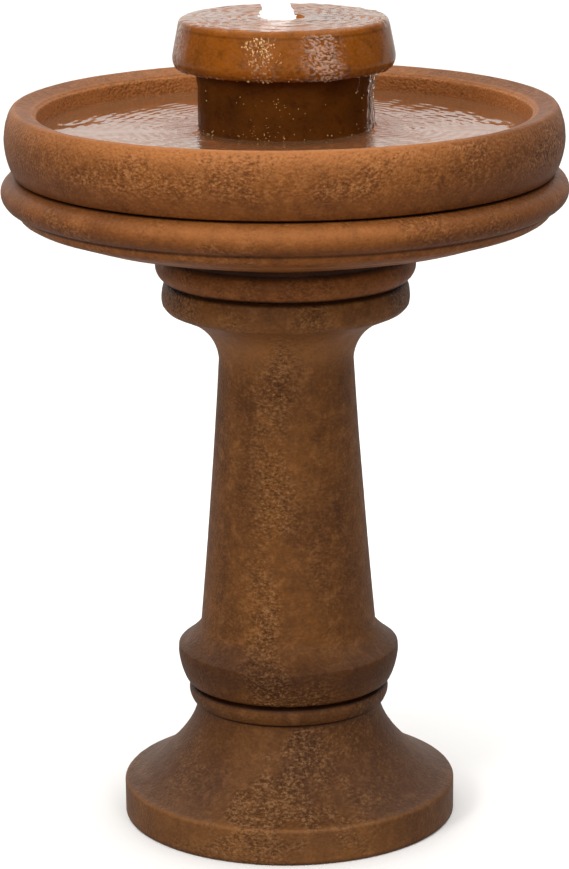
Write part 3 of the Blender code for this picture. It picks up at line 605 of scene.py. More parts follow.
# ------------------------------------------------------------------ stone
def stone_finish(name, settings, wash_and_shade, painted_light_share, wet=False, main=None, tone=(1.0, 1.0, 1.0)):
    """Iron-stained cast stone: ochre over umber, light grains, dark patina and painted shade in the
    hollows, and painted light and painted shade by where the lamps fall.

    The wash share shifts the whole piece to the darker colour, partly as painted shade; the warm share
    sets the strength of the painted light in clay; wet gives the gloss of soaked stone; and the tone,
    partly painted shade, is multiplied with every colour but the soot's.
    """
    finish, tree, shader = new_finish(name)
    links = tree.links
    cloud = noise_node(tree, 9.0, 5.0, 0.6)
    streak = noise_node(tree, 26.0, 4.0, 0.6, (1.0, 1.0, 0.22))
    mottle = noise_node(tree, 70.0, 3.0, 0.6)
    sand = noise_node(tree, 230.0, 3.0, 0.65, (1.0, 1.0, 1.5))
    grit = cell_node(tree, 300.0)
    pits, pebble = painted(tree, "pits"), painted(tree, "pebble")
    main, umber, clay, fleck = (
        [c * t for c, t in zip(colour, tone)]
        for colour in (main or settings.ochre, settings.umber, settings.clay, settings.fleck)
    )

    # patina: blotches and runs of umber, random mottles of clay and umber, then painted light in clay and
    # painted shade in umber
    blotch = sums(tree, "ADD", times(tree, cloud, 0.55), times(tree, streak, 0.45))
    body = tint(tree, ramp(tree, blotch, 0.54 - 0.35 * wash_and_shade, 0.98 - 0.35 * wash_and_shade), main, umber)
    body = tint(tree, times(tree, ramp(tree, mottle, 0.52, 0.70), 0.30), body, clay)
    body = tint(tree, times(tree, ramp(tree, mottle, 0.48, 0.30), 0.45), body, umber)
    # painted light: clay on upward faces, the rim's outer edge, the bead, the bowl's inside and the
    # column's neck
    body = tint(tree, times(tree, painted(tree, "painted_light"), 0.4 + 0.6 * painted_light_share), body, clay)
    # painted shade: umber on the sides and lower faces, away from the lamps; it also darkens the base's
    # flare and the column's lower moulding
    body = tint(tree, times(tree, painted(tree, "wash_and_shade"), 0.62), body, umber)

    # bare grain: light where it stands proud, dark where it is sunk
    proud = times(tree, pits, ramp(tree, pebble, 0.50, 0.95))
    body = tint(tree, times(tree, proud, 0.14), body, fleck)
    sunk = times(tree, pits, ramp(tree, pebble, 0.50, 0.10))
    body = tint(tree, times(tree, sunk, 0.16), body, settings.soot_and_shade)
    speck = times(tree, ramp(tree, sand, 0.47, 0.70), between(tree, 0.12, 0.62, pits))
    body = tint(tree, speck, body, fleck)
    dark_speck = times(tree, ramp(tree, sand, 0.50, 0.32), between(tree, 0.16, 0.55, pits))
    body = tint(tree, dark_speck, body, settings.soot_and_shade)
    # dark patina in the grooves, and painted shade under overhangs, in joints and down the cap's stem
    body = tint(tree, painted(tree, "groove"), body, settings.soot_and_shade)
    links.new(body, shader.inputs["Base Color"])

    rough_low, rough_high = (0.30, 0.18) if wet else (0.56, 0.40)
    links.new(between(tree, rough_low, rough_high, mottle), shader.inputs["Roughness"])
    shader.inputs["Specular IOR Level"].default_value = 0.02 if wet else 0.14
    height = sums(tree, "ADD", times(tree, sand, 0.5), times(tree, grit, -0.7))
    height = times(tree, height, between(tree, 0.30, 1.0, pits))
    strength, depth = (0.25, 0.0011) if wet else (0.85, 0.0022)
    bump(tree, shader, height, strength, depth)
    return finish


def hollows(profile, columns, spots):
    """Dark patina and painted shade for each row: full at the given places (r, z, reach, strength) and 0
    away from them.
    """
    p = np.array(profile)
    found = np.zeros(len(p))
    for r, z, reach, strength in spots:
        near = np.hypot(p[:, 0] - r, p[:, 1] - z)
        found = np.maximum(found, strength * (1 - smoothstep(reach * 0.25, reach, near)))
    return np.repeat(found, columns)


def build_casting(name, profile, columns, finish, body, settings, seed, masks, spots, cut=None):
    """One high-resolution casting that stands for the CAD node of the same name."""
    pit_mask, painted_light_mask, wash_and_shade_mask = masks
    points, normals, angle = ring_points(profile, columns)
    bare = points.copy()
    uneven = 1.0 + 0.5 * field(bare, 0.045, seed + 4)
    # mostly painted shade, laid unevenly where the wash mask lies
    washed_and_shaded = np.clip(wash_and_shade_mask(bare, np.degrees(angle)) * uneven, 0.0, 1.0)
    pits = np.clip(pit_mask(bare, angle), 0.0, 1.0)
    pebble = lay_grain(points, normals, pits, settings, seed)
    # painted light, where the crest mask lies
    painted_light = np.clip(painted_light_mask(bare, normals), 0.0, 1.0)
    # dark patina in the hollows, and painted shade under overhangs and in joints
    dirt_and_shade = hollows(profile, columns, spots)
    dirt_and_shade = np.clip(dirt_and_shade * (1.0 + 0.12 * field(bare, 0.03, seed + 2)), 0.0, 1.0)
    if cut is not None:
        points = cut(points, normals)
    points[:, 2] = np.maximum(points[:, 2], 0.0)
    mesh = mesh_from_grid(name, points, len(profile), columns)
    add_field(mesh, "pits", pits)
    add_field(mesh, "pebble", 0.5 + 0.5 * pebble / 0.45)
    add_field(mesh, "groove", dirt_and_shade)
    add_field(mesh, "painted_light", painted_light)
    add_field(mesh, "wash_and_shade", washed_and_shaded)
    if cut is not None:
        face_outwards(mesh)
    piece = add_piece(f"{name}_stone", mesh, finish, body)
    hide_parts(name)
    return piece


class FOUNTAIN_OT_cast_base(bpy.types.Operator):
    """Build the flared base, with its ring and the cord notch at the back"""

    bl_idname = "fountain.cast_base"
    bl_label = "Base"

    def execute(self, context):
        settings = context.scene.fountain_stone
        notch_half, notch_rise = 0.015, 0.009

        def hidden(r, z):
            return r < 0.1 or z < 0.001 or (r < 0.169 and z < 0.11 - (r - 0.0955))

        def pit_mask(points, angle):
            turn = np.degrees(angle)
            return (hump(turn, 262, 26) + hump(turn, 80, 34) + 0.25) * grain_patches(points, 0.8, 2.0)

        def painted_light_mask(points, normals):
            # painted highlight along the plinth's arris, and painted light on the whole plinth
            arris = hump(points[:, 2], 0.0425, 0.0030) * smoothstep(0.19, 0.197, from_axis(points))
            plinth = (points[:, 2] < 0.040) * 0.35
            return np.maximum(arris * 0.75, plinth)

        def wash_and_shade_mask(points, turn):
            # darker over the flare, and painted shade on the base's two sides, away from the lamps at the
            # front
            flare = (points[:, 2] > 0.044) * 0.30
            return flare + 0.60 * smoothstep(0.30, 0.90, beside(turn))

        def cut(points, normals):
            """Arches the cord's notch under the plinth at the back."""
            off = np.abs(points[:, 0])
            level = notch_rise + np.sqrt(np.maximum(notch_half**2 - off**2, 0.0))
            inside = (off < notch_half) & (points[:, 1] > 0.12)
            return raise_foot(points, normals, np.where(inside, level, -1.0))

        # painted shade in the joint at the seat, in the ring's groove, and along the plinth's foot at the
        # floor
        spots = [
            (0.1165, BASE_SEAT_Z, 0.006, 0.97),
            (0.1100, BASE_SEAT_Z - 0.0225, 0.0038, 0.97),
            (0.199, 0.0, 0.006, 0.55),
        ]
        profile = spaced(eased(base_profile(), CAST_EDGE_R), settings.rows, 0.012, hidden)
        masks = (pit_mask, painted_light_mask, wash_and_shade_mask)
        # the base's darker tone and wash: partly its own colour, partly painted shade
        finish = stone_finish("stone_base", settings, wash_and_shade=0.72, painted_light_share=0.35, tone=(0.72, 0.84, 0.96))
        build_casting("pedestal_base", profile, 448, finish, "base", settings, 1.0, masks, spots, cut)
        return {"FINISHED"}


class FOUNTAIN_OT_cast_column(bpy.types.Operator):
    """Build the tapered column between its lower moulding and its capital"""

    bl_idname = "fountain.cast_column"
    bl_label = "Column"

    def execute(self, context):
        settings = context.scene.fountain_stone
        foot, top = COLUMN_FOOT_Z, CAPITAL_Z

        def hidden(r, z):
            return r < 0.0790 or (r < 0.0955 and (z < foot + 0.05 or z > top))

        def pit_mask(points, angle):
            turn = np.degrees(angle)
            band = hump(turn, 260, 15) + 0.8 * hump(turn, 95, 18)
            band = band + 0.45 * hump(turn, 285, 9) * smoothstep(0.40, 0.30, points[:, 2])
            slab = 0.5625 * smoothstep(top - 0.036, top - 0.026, points[:, 2])
            runs = smoothstep(-0.3, 0.15, field(points * np.array([1, 1, 0.5]), 0.05, 4.0))
            return (band + slab + 0.12) * runs

        def painted_light_mask(points, normals):
            # painted light on upward faces and on the concave neck under the capital
            flat = smoothstep(0.5, 1.0, normals[:, 2]) * 0.15
            return np.maximum(flat, hump(points[:, 2], top - 0.060, 0.030))

        def wash_and_shade_mask(points, turn):
            # the lower moulding darker, and painted shade on the column's two sides
            ring = smoothstep(foot + 0.060, foot + 0.035, points[:, 2]) * 0.85
            return ring + 0.30 * np.cos(np.radians(turn)) ** 4

        # painted shade in the joints at the foot and under the capital, and darker over the lower
        # moulding
        spots = [
            (0.1165, foot, 0.006, 0.98),
            (0.1420, top, 0.0045, 0.97),
            (0.1180, foot + 0.040, 0.040, 0.42),
        ]
        profile = spaced(eased(column_profile(), 0.0014), settings.rows, 0.014, hidden)
        masks = (pit_mask, painted_light_mask, wash_and_shade_mask)
        # the column's darker tone and wash: partly its own colour, partly painted shade from the bowl
        # above it
        finish = stone_finish("stone_column", settings, wash_and_shade=0.66, painted_light_share=0.3, tone=(0.82, 0.93, 1.00))
        build_casting("pedestal_column", profile, 384, finish, "base", settings, 2.0, masks, spots)
        return {"FINISHED"}


class FOUNTAIN_OT_cast_bowl(bpy.types.Operator):
    """Build the wide bowl, with its rim, groove, bead and foot"""

    bl_idname = "fountain.cast_bowl"
    bl_label = "Bowl"

    def execute(self, context):
        settings = context.scene.fountain_stone
        floor, rim = BOWL_FLOOR_Z, RIM_Z
        inner_r = 0.2886

        def hidden(r, z):
            under_stem = z < floor + 0.002 and r < 0.24 and z > floor - 0.03
            return under_stem or (r < 0.101 and z < floor) or (z < BOWL_FOOT_Z + 0.0005)

        def pit_mask(points, angle):
            r, z = from_axis(points), points[:, 2]
            body = smoothstep(rim - 0.062, rim - 0.040, z) * (r > 0.30)
            body = body * smoothstep(rim + 0.0005, rim - 0.008, z)
            bead = (z < rim - 0.078) * (z > rim - 0.112) * (r > 0.30) * 0.55
            foot = (z < rim - 0.112) * 0.35
            wall = (r < inner_r) * (z > rim - 0.032) * 0.7
            top = (r < 0.314) * (r > inner_r) * (z > rim - 0.012) * 0.10
            patch = grain_patches(points, 1.6, 7.0)
            return (body + wall) * (0.40 + 0.60 * patch) + (bead + foot) * patch + top

        def painted_light_mask(points, normals):
            r, z = from_axis(points), points[:, 2]
            # painted light on the rim's top, painted highlight along the rim's outer edge and the bead,
            # and painted light over the bowl's inside
            top = smoothstep(0.4, 0.9, normals[:, 2]) * (z > rim - 0.012) * (r > inner_r - 0.002)
            edge = hump(z, rim - 0.006, 0.013) * (r > 0.31)
            bead = hump(z, rim - 0.090, 0.008) * (r > 0.31) * 0.55
            wall = (r < inner_r) * (z > floor - 0.002) * 0.95
            return np.maximum(np.maximum(np.maximum(top * 0.30, edge), bead), wall)

        def wash_and_shade_mask(points, turn):
            r, z = from_axis(points), points[:, 2]
            # painted shade: darker on the lower body, the bead's underside, the bead's sides, and the
            # body's sides and right, away from the lamps
            low_body = smoothstep(rim - 0.030, rim - 0.066, z) * (z > rim - 0.080) * 0.55
            low_bead = smoothstep(rim - 0.096, rim - 0.112, z) * 0.5
            on_bead = (z < rim - 0.0775) * (z > rim - 0.118)
            bead = on_bead * (low_bead + 0.9 * smoothstep(0.20, 0.75, beside(turn)))
            right = smoothstep(0.30, 0.80, np.cos(np.radians(turn)))
            side_shade = 0.70 * smoothstep(0.40, 1.0, beside(turn)) + 0.45 * right
            sides = (z > rim - 0.078) * side_shade
            return (low_body + bead + sides) * (r > 0.295)

        # dark patina in the groove, and painted shade under the bead, under the bowl's edge, on its neck
        # and at its foot
        spots = [
            (0.3055, rim - 0.0782, 0.0095, 1.0),
            (0.3105, rim - 0.1165, 0.0035, 0.75),
            (0.255, rim - 0.1445, 0.004, 0.6),
            (0.1475, BOWL_FOOT_Z + 0.033, 0.010, 0.95),
            (0.165, BOWL_FOOT_Z + 0.042, 0.022, 0.55),
            (0.1455, BOWL_FOOT_Z, 0.0045, 0.97),
        ]
        profile = spaced(eased(bowl_profile(), CAST_EDGE_R), settings.rows, 0.012, hidden)
        masks = (pit_mask, painted_light_mask, wash_and_shade_mask)
        finish = stone_finish("stone_bowl", settings, wash_and_shade=0.30, painted_light_share=0.75)
        build_casting("bowl", profile, 512, finish, "bowl", settings, 3.0, masks, spots)
        return {"FINISHED"}


class FOUNTAIN_OT_cast_cap(bpy.types.Operator):
    """Build the mushroom cap, with its wet drum, hollow stem and water inlets"""

    bl_idname = "fountain.cast_cap"
    bl_label = "Cap"

    def execute(self, context):
        settings = context.scene.fountain_stone

        def hidden(r, z):
            return r < 0.0785 and z < CAP_TOP_Z - 0.008

        def pit_mask(points, angle):
            return 0.10 + 0.20 * grain_patches(points, 1.0, 12.0)

        def painted_light_mask(points, normals):
            r = from_axis(points)
            # painted highlight along the drum's top edge, and painted light on the cap's upward faces
            lip = hump(points[:, 2], CAP_TOP_Z - 0.0015, 0.0028) * (r > 0.112)
            lip = lip * (0.75 + 0.5 * field(points, 0.018, 14.0))
            return np.maximum(smoothstep(0.5, 1.0, normals[:, 2]) * (r > 0.1) * 0.35, lip)

        def wash_and_shade_mask(points, turn):
            # painted shade on the drum's two sides
            return 0.45 * np.cos(np.radians(turn)) ** 4 * (points[:, 2] > DRUM_LOW_Z)

        def cut(points, normals):
            """Opens the four water inlets in the stem's foot."""
            r = from_axis(points)
            side = np.minimum(np.abs(points[:, 0]), np.abs(points[:, 1]))
            inside = (side < 0.018) & (r > 0.07) & (r < 0.105)
            return raise_foot(points, normals, np.where(inside, CAP_FOOT_Z + 0.018, -1.0))

        # painted shade in a thin line under the drum's top edge and under the drum; down the stem, partly
        # wet stone and partly painted shade
        spots = [
            (0.1222, CAP_TOP_Z - 0.0085, 0.0022, 0.40),
            (0.108, DRUM_LOW_Z, 0.010, 0.90),
            *((0.101, DRUM_LOW_Z - 0.004 - 0.012 * i, 0.034, 0.80) for i in range(7)),
        ]
        profile = spaced(eased(cap_profile(), CAST_EDGE_R), 0.0026, 0.012, hidden)
        masks = (pit_mask, painted_light_mask, wash_and_shade_mask)
        honey = settings.honey
        finish = stone_finish("stone_cap_wet", settings, wash_and_shade=0.30, painted_light_share=0.25, wet=True, main=honey)
        build_casting("fountain_cap", profile, 448, finish, "cap", settings, 4.0, masks, spots, cut)
        return {"FINISHED"}


# ------------------------------------------------------------------ water
def water_finish(name, colour, clear, rough):
    """Water with a fine swirl. A clear under 1 leaves some of the colour in it."""
    finish, tree, shader = new_finish(name)
    shader.inputs["Base Color"].default_value = (*colour, 1.0)
    shader.inputs["Roughness"].default_value = rough
    shader.inputs["IOR"].default_value = WATER_IOR
    shader.inputs["Transmission Weight"].default_value = clear
    bump(tree, shader, noise_node(tree, 160.0, 2.0, 0.5), 0.10, 0.0006)
    return finish


class FOUNTAIN_OT_bowl_water(bpy.types.Operator):
    """Fill the bowl with water and lay the rings that spread from the stem"""

    bl_idname = "fountain.bowl_water"
    bl_label = "Water in the bowl"

    def execute(self, context):
        settings = context.scene.fountain_water
        level = RIM_Z - settings.level
        rise = (level - WALL_LOW_Z) / (WALL_TOP_Z - WALL_LOW_Z)
        wall = WALL_LOW_R + (WALL_TOP_R - WALL_LOW_R) * rise
        reach = wall + 0.0009
        columns = 320
        radii = np.concatenate([np.linspace(0.002, 0.076, 10), np.arange(0.082, reach, 0.0017), [reach]])
        top = [(r, level) for r in radii]
        under = [(WALL_LOW_R + 0.001, WALL_LOW_Z), *reversed(bowl_inner_curve(0.001))]
        under += [(FLOOR_EDGE_R, BOWL_FLOOR_Z - 0.001), (0.002, BOWL_FLOOR_Z - 0.001)]
        rows = len(top) + len(under)
        points, _, _ = ring_points(top + under, columns)
        r = from_axis(points)
        surface = np.repeat(np.arange(rows) < len(top), columns)
        near = np.exp(-np.clip(r - STEM_R, 0.0, None) / 0.030)
        x, y = points[:, 0], points[:, 1]
        rings = np.zeros(len(points))
        # where rings start, their wavelength, their height, and how far they carry
        for cx, cy, wave, size, fade in (
            (0.0, 0.0, 0.0125, 1.0, 0.30),
            (0.106, -0.030, 0.0125, 2.6, 0.070),
            (-0.104, -0.028, 0.0115, 2.2, 0.060),
            (0.012, -0.104, 0.0080, 1.0, 0.050),
            (0.030, 0.105, 0.0100, 1.0, 0.090),
        ):
            far = np.hypot(x - cx, y - cy)
            rings += size * np.sin(math.tau * far / wave) * np.exp(-far / fade)
        flat = points * np.array([1, 1, 0.0])
        chop, broad = field(flat, 0.0075, 21.0), field(flat, 0.028, 23.0)
        stirred = 0.22 + 0.9 * near + 0.7 * np.exp(-np.hypot(x - 0.118, y + 0.035) / 0.03)
        rings *= (1.0 + 0.9 * broad) * (0.60 + 0.8 * near)
        height = settings.ripple * (rings + chop * stirred * 2.0 + broad * 1.6)
        edge = smoothstep(reach + 0.001, reach - 0.004, r)
        lift = np.exp(-(wall - r).clip(0) / 0.0012) * 0.0005
        points[:, 2] += np.where(surface, height * edge + lift, 0.0)
        mesh = mesh_from_grid("bowl_water", points, rows, columns, wrap_rows=False)
        close_ends(mesh, rows, columns)
        # a tenth of the water is opaque orange: painted light that stands in for the lit inside of the
        # bowl seen through it
        finish = water_finish("water_still", (0.97, 0.58, 0.28), 0.90, 0.0)
        add_piece("bowl_water", mesh, finish, "bowl")
        return {"FINISHED"}


def close_ends(mesh, rows, columns):
    """Caps the first and last ring of a turned grid with one flat face each."""
    work = bmesh.new()
    work.from_mesh(mesh)
    work.verts.ensure_lookup_table()
    work.faces.new([work.verts[i] for i in range(columns)]).smooth = True
    last = (rows - 1) * columns
    work.faces.new([work.verts[last + columns - 1 - i] for i in range(columns)]).smooth = True
    bmesh.ops.recalc_face_normals(work, faces=work.faces)
    work.to_mesh(mesh)
    work.free()


def bearing(points):
    """Degrees round the axis from the front, positive to the right."""
    return np.degrees(np.arctan2(points[:, 0], -points[:, 1]))


class FOUNTAIN_OT_cap_film(bpy.types.Operator):
    """Lay the sheet of water that runs over the cap, with its beads and wrinkles"""

    bl_idname = "fountain.cap_film"
    bl_label = "Water over the cap"

    def execute(self, context):
        columns = 720
        outside = eased(cap_outside(), CAST_EDGE_R)
        skin = [p for p in outside if p[0] > 0.0245 and p[1] > DRUM_LOW_Z - 0.0005]
        dense = []
        for a, b in zip(skin, skin[1:]):
            step = 0.0024 if min(a[1], b[1]) > CAP_TOP_Z - 0.0005 else 0.00115
            pieces = max(1, round(math.dist(a, b) / step))
            for k in range(pieces):
                dense.append((a[0] + (b[0] - a[0]) * k / pieces, a[1] + (b[1] - a[1]) * k / pieces))
        dense.append(skin[-1])
        count = len(dense)
        loop = dense + skin[::-1]
        edges = np.concatenate([edge_normals(dense), edge_normals(dense, skin)[::-1]])
        points, normals, _ = ring_points(loop, columns, edges)
        outer = np.repeat(np.arange(len(loop)) < count, columns)
        thick, froth_and_painted_light, sheet = film_depth(points[outer])
        # the inner side of the film lies just inside the stone
        offset = np.full(len(points), -0.0007)
        offset[outer] = thick
        points += normals * offset[:, None]
        mesh = mesh_from_grid("cap_water", points, len(loop), columns)
        # stores the painted glints and the painted highlights for the finish
        for name, values in (("froth_and_painted_light", froth_and_painted_light), ("sheet", sheet)):
            everywhere = np.zeros(len(points))
            everywhere[outer] = values
            add_field(mesh, name, everywhere)
        face_outwards(mesh)
        add_piece("cap_water", mesh, film_finish(), "cap")
        return {"FINISHED"}


def film_finish():
    """Clear water over the ochre, with painted golden glints in the beads and painted pinkish highlights
    on the wrinkled sheets.
    """
    finish, tree, shader = new_finish("water_film")
    glint = noise_node(tree, 300.0, 2.0, 0.6)
    froth_and_painted_light = times(tree, painted(tree, "froth_and_painted_light"), ramp(tree, glint, 0.46, 0.60))
    sheet = painted(tree, "sheet")
    # painted glints: golden and partly opaque in the beads
    colour = tint(tree, froth_and_painted_light, (0.98, 0.93, 0.86), (1.0, 0.66, 0.27))
    # painted highlight: pinkish and partly opaque on the creases of the sheets
    colour = tint(tree, sheet, colour, (0.78, 0.34, 0.12))
    tree.links.new(colour, shader.inputs["Base Color"])
    painted_share = sums(tree, "MAXIMUM", times(tree, froth_and_painted_light, 0.30), times(tree, sheet, 0.66))
    tree.links.new(between(tree, 1.0, 0.0, painted_share), shader.inputs["Transmission Weight"])
    shader.inputs["Roughness"].default_value = 0.03
    shader.inputs["IOR"].default_value = WATER_IOR
    shader.inputs["Specular Tint"].default_value = (1.0, 0.66, 0.40, 1.0)
    bump(tree, shader, glint, 0.12, 0.0006)
    return finish


def edge_normals(line, at=None):
    """Unit normals of an open profile line, at its own points or at those of another."""
    p = np.array(line)
    along = np.gradient(p, axis=0)
    along /= np.maximum(np.linalg.norm(along, axis=1, keepdims=True), 1e-9)
    n = np.stack([-along[:, 1], along[:, 0]], axis=1)
    if at is None:
        return n
    return np.array([n[np.argmin(np.hypot(*(p - np.array(q)).T))] for q in at])


def film_depth(face):
    """Depth of the film over the cap, and where its beads carry painted glints and its wrinkles painted
    highlights.

    Rings run over its top. A rivulet of beads runs down the drum left of the front, and wrinkled
    sheets hang right of it and round the back.
    """
    turn, r, z = bearing(face), from_axis(face), face[:, 2]
    side = smoothstep(CAP_TOP_Z - 0.001, CAP_TOP_Z - 0.010, z)
    depth = 0.00045 + 0.00030 * field(face * np.array([1, 1, 0.45]), 0.016, 31.0)

    far = np.hypot(face[:, 0] + 0.012, face[:, 1])
    warp = 0.6 * field(face, 0.020, 32.0)
    chop = field(face * np.array([0.32, 1.0, 1.0]), 0.0075, 33.0)
    depth += (1 - side) * 2.2 * (0.00013 * np.sin(math.tau * far / 0.0105 + warp) + 0.00026 * chop)

    wander = 6.0 * field(face * np.array([0, 0, 1.0]) + 0.3, 0.020, 35.0)
    rivulet = hump(turn + wander + (CAP_TOP_Z - z) * 110.0, -8.5, 5.5)
    rivulet += 0.5 * hump(turn + wander, 128, 9.0) + 0.5 * hump(turn, -140, 10.0)
    beads = field(face, 0.0021, 37.0)
    # painted golden glints in the rivulet's beads
    froth_and_painted_light = side * np.clip(rivulet * 1.3, 0, 1) * smoothstep(0.02, 0.30, beads)
    depth += side * rivulet * (0.0005 * smoothstep(0.10, 0.55, beads) + 0.0001 * beads)

    hang = hump(turn + 0.6 * wander, 21, 7.5) + 0.6 * hump(turn, -76, 9.0) + 0.7 * hump(turn, 168, 9.0)
    wrinkle = field(face * np.array([1.0, 1.0, 2.2]), 0.0070, 39.0)
    wrinkle += 0.6 * field(face * np.array([1.0, 1.0, 1.8]), 0.0034, 41.0)
    crease = np.clip(1 - np.abs(wrinkle) * 3.4, 0, 1)
    # painted highlights on the creases of the sheets
    sheet = side * np.clip(hang * 1.25, 0, 1) * crease
    depth += side * hang * (0.0004 + 0.0011 * crease)

    rim = hump(z, DRUM_LOW_Z + 0.0015, 0.0022) * (r > 0.112)
    depth += rim * (0.0006 + 0.0020 * np.clip(field(face, 0.0060, 43.0), 0, 1))
    # painted glints in a band along the drum's lower edge
    edge_glints = hump(z, DRUM_LOW_Z + 0.002, 0.003) * smoothstep(0.12, 0.42, field(face, 0.0040, 45.0))
    return np.maximum(depth, -0.0003), np.maximum(froth_and_painted_light, edge_glints * 0.9), sheet


def blob(work, centre, size, stretch, random_source, rings=6, sides=8):
    """Adds one small closed drop to the lists of points and faces."""
    points, faces = work
    first = len(points)
    tilt = Euler([random_source.uniform(-0.4, 0.4) for _ in range(3)]).to_matrix()
    points.append(centre + tilt @ Vector((0, 0, size * stretch)))
    for i in range(1, rings):
        a = math.pi * i / rings
        for k in range(sides):
            b = math.tau * k / sides
            wobble = 1.0 + 0.16 * random_source.uniform(-1, 1)
            spot = Vector((math.sin(a) * math.cos(b), math.sin(a) * math.sin(b), math.cos(a) * stretch))
            points.append(centre + tilt @ (spot * size * wobble))
    points.append(centre + tilt @ Vector((0, 0, -size * stretch)))
    last = len(points) - 1
    for k in range(sides):
        faces.append((first, first + 1 + k, first + 1 + (k + 1) % sides))
        faces.append((last, last - sides + (k + 1) % sides, last - sides + k))
    for i in range(rings - 2):
        low = first + 1 + i * sides
        for k in range(sides):
            nxt = (k + 1) % sides
            faces.append((low + k, low + sides + k, low + sides + nxt, low + nxt))


def mesh_from_lists(name, points, faces):
    """A smooth mesh from lists of points and faces."""
    mesh = bpy.data.meshes.new(name)
    mesh.from_pydata([tuple(p) for p in points], [], faces)
    mesh.polygons.foreach_set("use_smooth", [True] * len(mesh.polygons))
    mesh.update()
    return mesh


def strand(work, line, widths, sides=10):
    """Adds a closed rope of water along a line of points."""
    points, faces = work
    first = len(points)
    count = len(line)
    for i, (spot, width) in enumerate(zip(line, widths)):
        for k in range(sides):
            b = math.tau * k / sides
            points.append(spot + Vector((math.cos(b) * width, math.sin(b) * width, 0.0)))
    for i in range(count - 1):
        low = first + i * sides
        for k in range(sides):
            nxt = (k + 1) % sides
            faces.append((low + k, low + sides + k, low + sides + nxt, low + nxt))
    faces.append(tuple(first + k for k in range(sides)))
    faces.append(tuple(first + (count - 1) * sides + k for k in reversed(range(sides))))


class FOUNTAIN_OT_falling_water(bpy.types.Operator):
    """Hang the streams that fall from the drum beside the stem"""

    bl_idname = "fountain.falling_water"
    bl_label = "Falling streams"

    def execute(self, context):
        chance = random.Random(JETTING_SEED)
        level = RIM_Z - context.scene.fountain_water.level
        work = ([], [])
        top = DRUM_LOW_Z + 0.0015
        falls = (
            # degrees from the front, radius at the top, width, share of the way to the pool
            (93, 0.1080, 0.0024, 1.0),
            (72, 0.1065, 0.0020, 1.0),
            (81, 0.1070, 0.0016, 1.0),
            (56, 0.1060, 0.0020, 0.34),
            (50, 0.1050, 0.0014, 0.26),
            (-95, 0.1080, 0.0016, 0.20),
            (-150, 0.1070, 0.0026, 1.0),
            (165, 0.1070, 0.0026, 1.0),
            (-168, 0.1070, 0.0018, 1.0),
        )
        for turn, radius, width, share in falls:
            low = top - (top - level + 0.001) * share
            steps = max(10, int((top - low) / 0.0016))
            line, widths = [], []
            phase = chance.uniform(0, 10)
            for i in range(steps + 1):
                t = i / steps
                z = top + (low - top) * t
                a = math.radians(turn + 2.2 * noise.noise((phase, z * 90, 0.3)))
                hug = radius - 0.0055 * smoothstep(0.0, 0.5, np.float64(t))
                hug += 0.0018 * noise.noise((phase, 4.0, z * 130))
                line.append(Vector((hug * math.sin(a), -hug * math.cos(a), z)))
                swell = 1.0 + 0.55 * noise.noise((phase * 3, z * 260, 7.0))
                widths.append(max(0.0005, width * swell * (1.15 - 0.5 * math.sin(math.pi * t))))
            # a stream that reaches the pool spreads at its foot, and a short one ends in a drop
            tip, grow, rings = (0.25, 0.22, 4) if share < 1.0 else (1.9, -0.18, 5)
            for i in range(rings):
                widths[-1 - i] *= tip + grow * i
            strand(work, line, widths)
        mesh = mesh_from_lists("falling_water", *work)
        finish = water_finish("water_falling", (0.96, 0.95, 0.94), 0.9, 0.03)
        piece = add_piece("falling_water", mesh, finish, "cap")
        smooth = piece.modifiers.new("smooth", "SUBSURF")
        smooth.levels = 1
        smooth.render_levels = 1
        return {"FINISHED"}


class FOUNTAIN_OT_beads(bpy.types.Operator):
    """Scatter the beads of water on the drum, the stem and round its foot"""

    bl_idname = "fountain.beads"
    bl_label = "Beads"

    def execute(self, context):
        settings = context.scene.fountain_water
        chance = random.Random(JETTING_SEED + 1)
        level = RIM_Z - settings.level
        work = ([], [])
        stem_r = STEM_R + 0.0001
        drops = (0.0, 0.010, 0.038, 0.050, 0.056)
        drum_radii = (0.1165, 0.1222, 0.1268, 0.1262, 0.1235)
        for _ in range(settings.beads):
            kind = chance.random()
            if kind < 0.50:
                # in the rivulet that runs down the drum
                drop = chance.uniform(0.004, 0.055)
                turn = -15.5 + 150.0 * drop + chance.gauss(0, 4.2)
                z = CAP_TOP_Z - drop
                radius = float(np.interp(drop, drops, drum_radii))
                size = chance.uniform(0.0005, 0.0011)
            elif kind < 0.70:
                # along the drum's lower edge, all round
                turn = chance.uniform(-180, 180)
                radius = chance.uniform(0.1085, 0.1235)
                z = DRUM_LOW_Z + 0.0006 + chance.uniform(-0.0010, 0.0006)
                size = chance.uniform(0.0005, 0.0016)
            elif kind < 0.78:
                # a scatter down the stem's front, left of the middle
                turn = chance.gauss(-4, 12)
                radius = stem_r
                z = chance.uniform(level, DRUM_LOW_Z - 0.022)
                size = chance.uniform(0.0002, 0.00045)
            elif kind < 0.90:
                # thrown up round the stem's foot
                turn = chance.uniform(-180, 180)
                radius = stem_r + chance.uniform(0, 0.004)
                z = level + abs(chance.gauss(0, 0.005))
                size = chance.uniform(0.0002, 0.0006)
            else:
                # in trails down the stem's sides and back
                turn = chance.choice((-178, 95, 62, 140, -120, -64)) + chance.gauss(0, 7)
                radius = stem_r
                z = chance.uniform(level, DRUM_LOW_Z - 0.02)
                size = chance.uniform(0.0003, 0.0009)
            a = math.radians(turn)
            spot = Vector((radius * math.sin(a), -radius * math.cos(a), z))
            blob(work, spot, size, chance.uniform(0.9, 1.7), chance)
        # the beads are three quarters opaque gold: painted glints
        finish = water_finish("water_beads", (1.0, 0.66, 0.30), 0.25, 0.02)
        add_piece("water_beads", mesh_from_lists("water_beads", *work), finish, "cap")
        return {"FINISHED"}


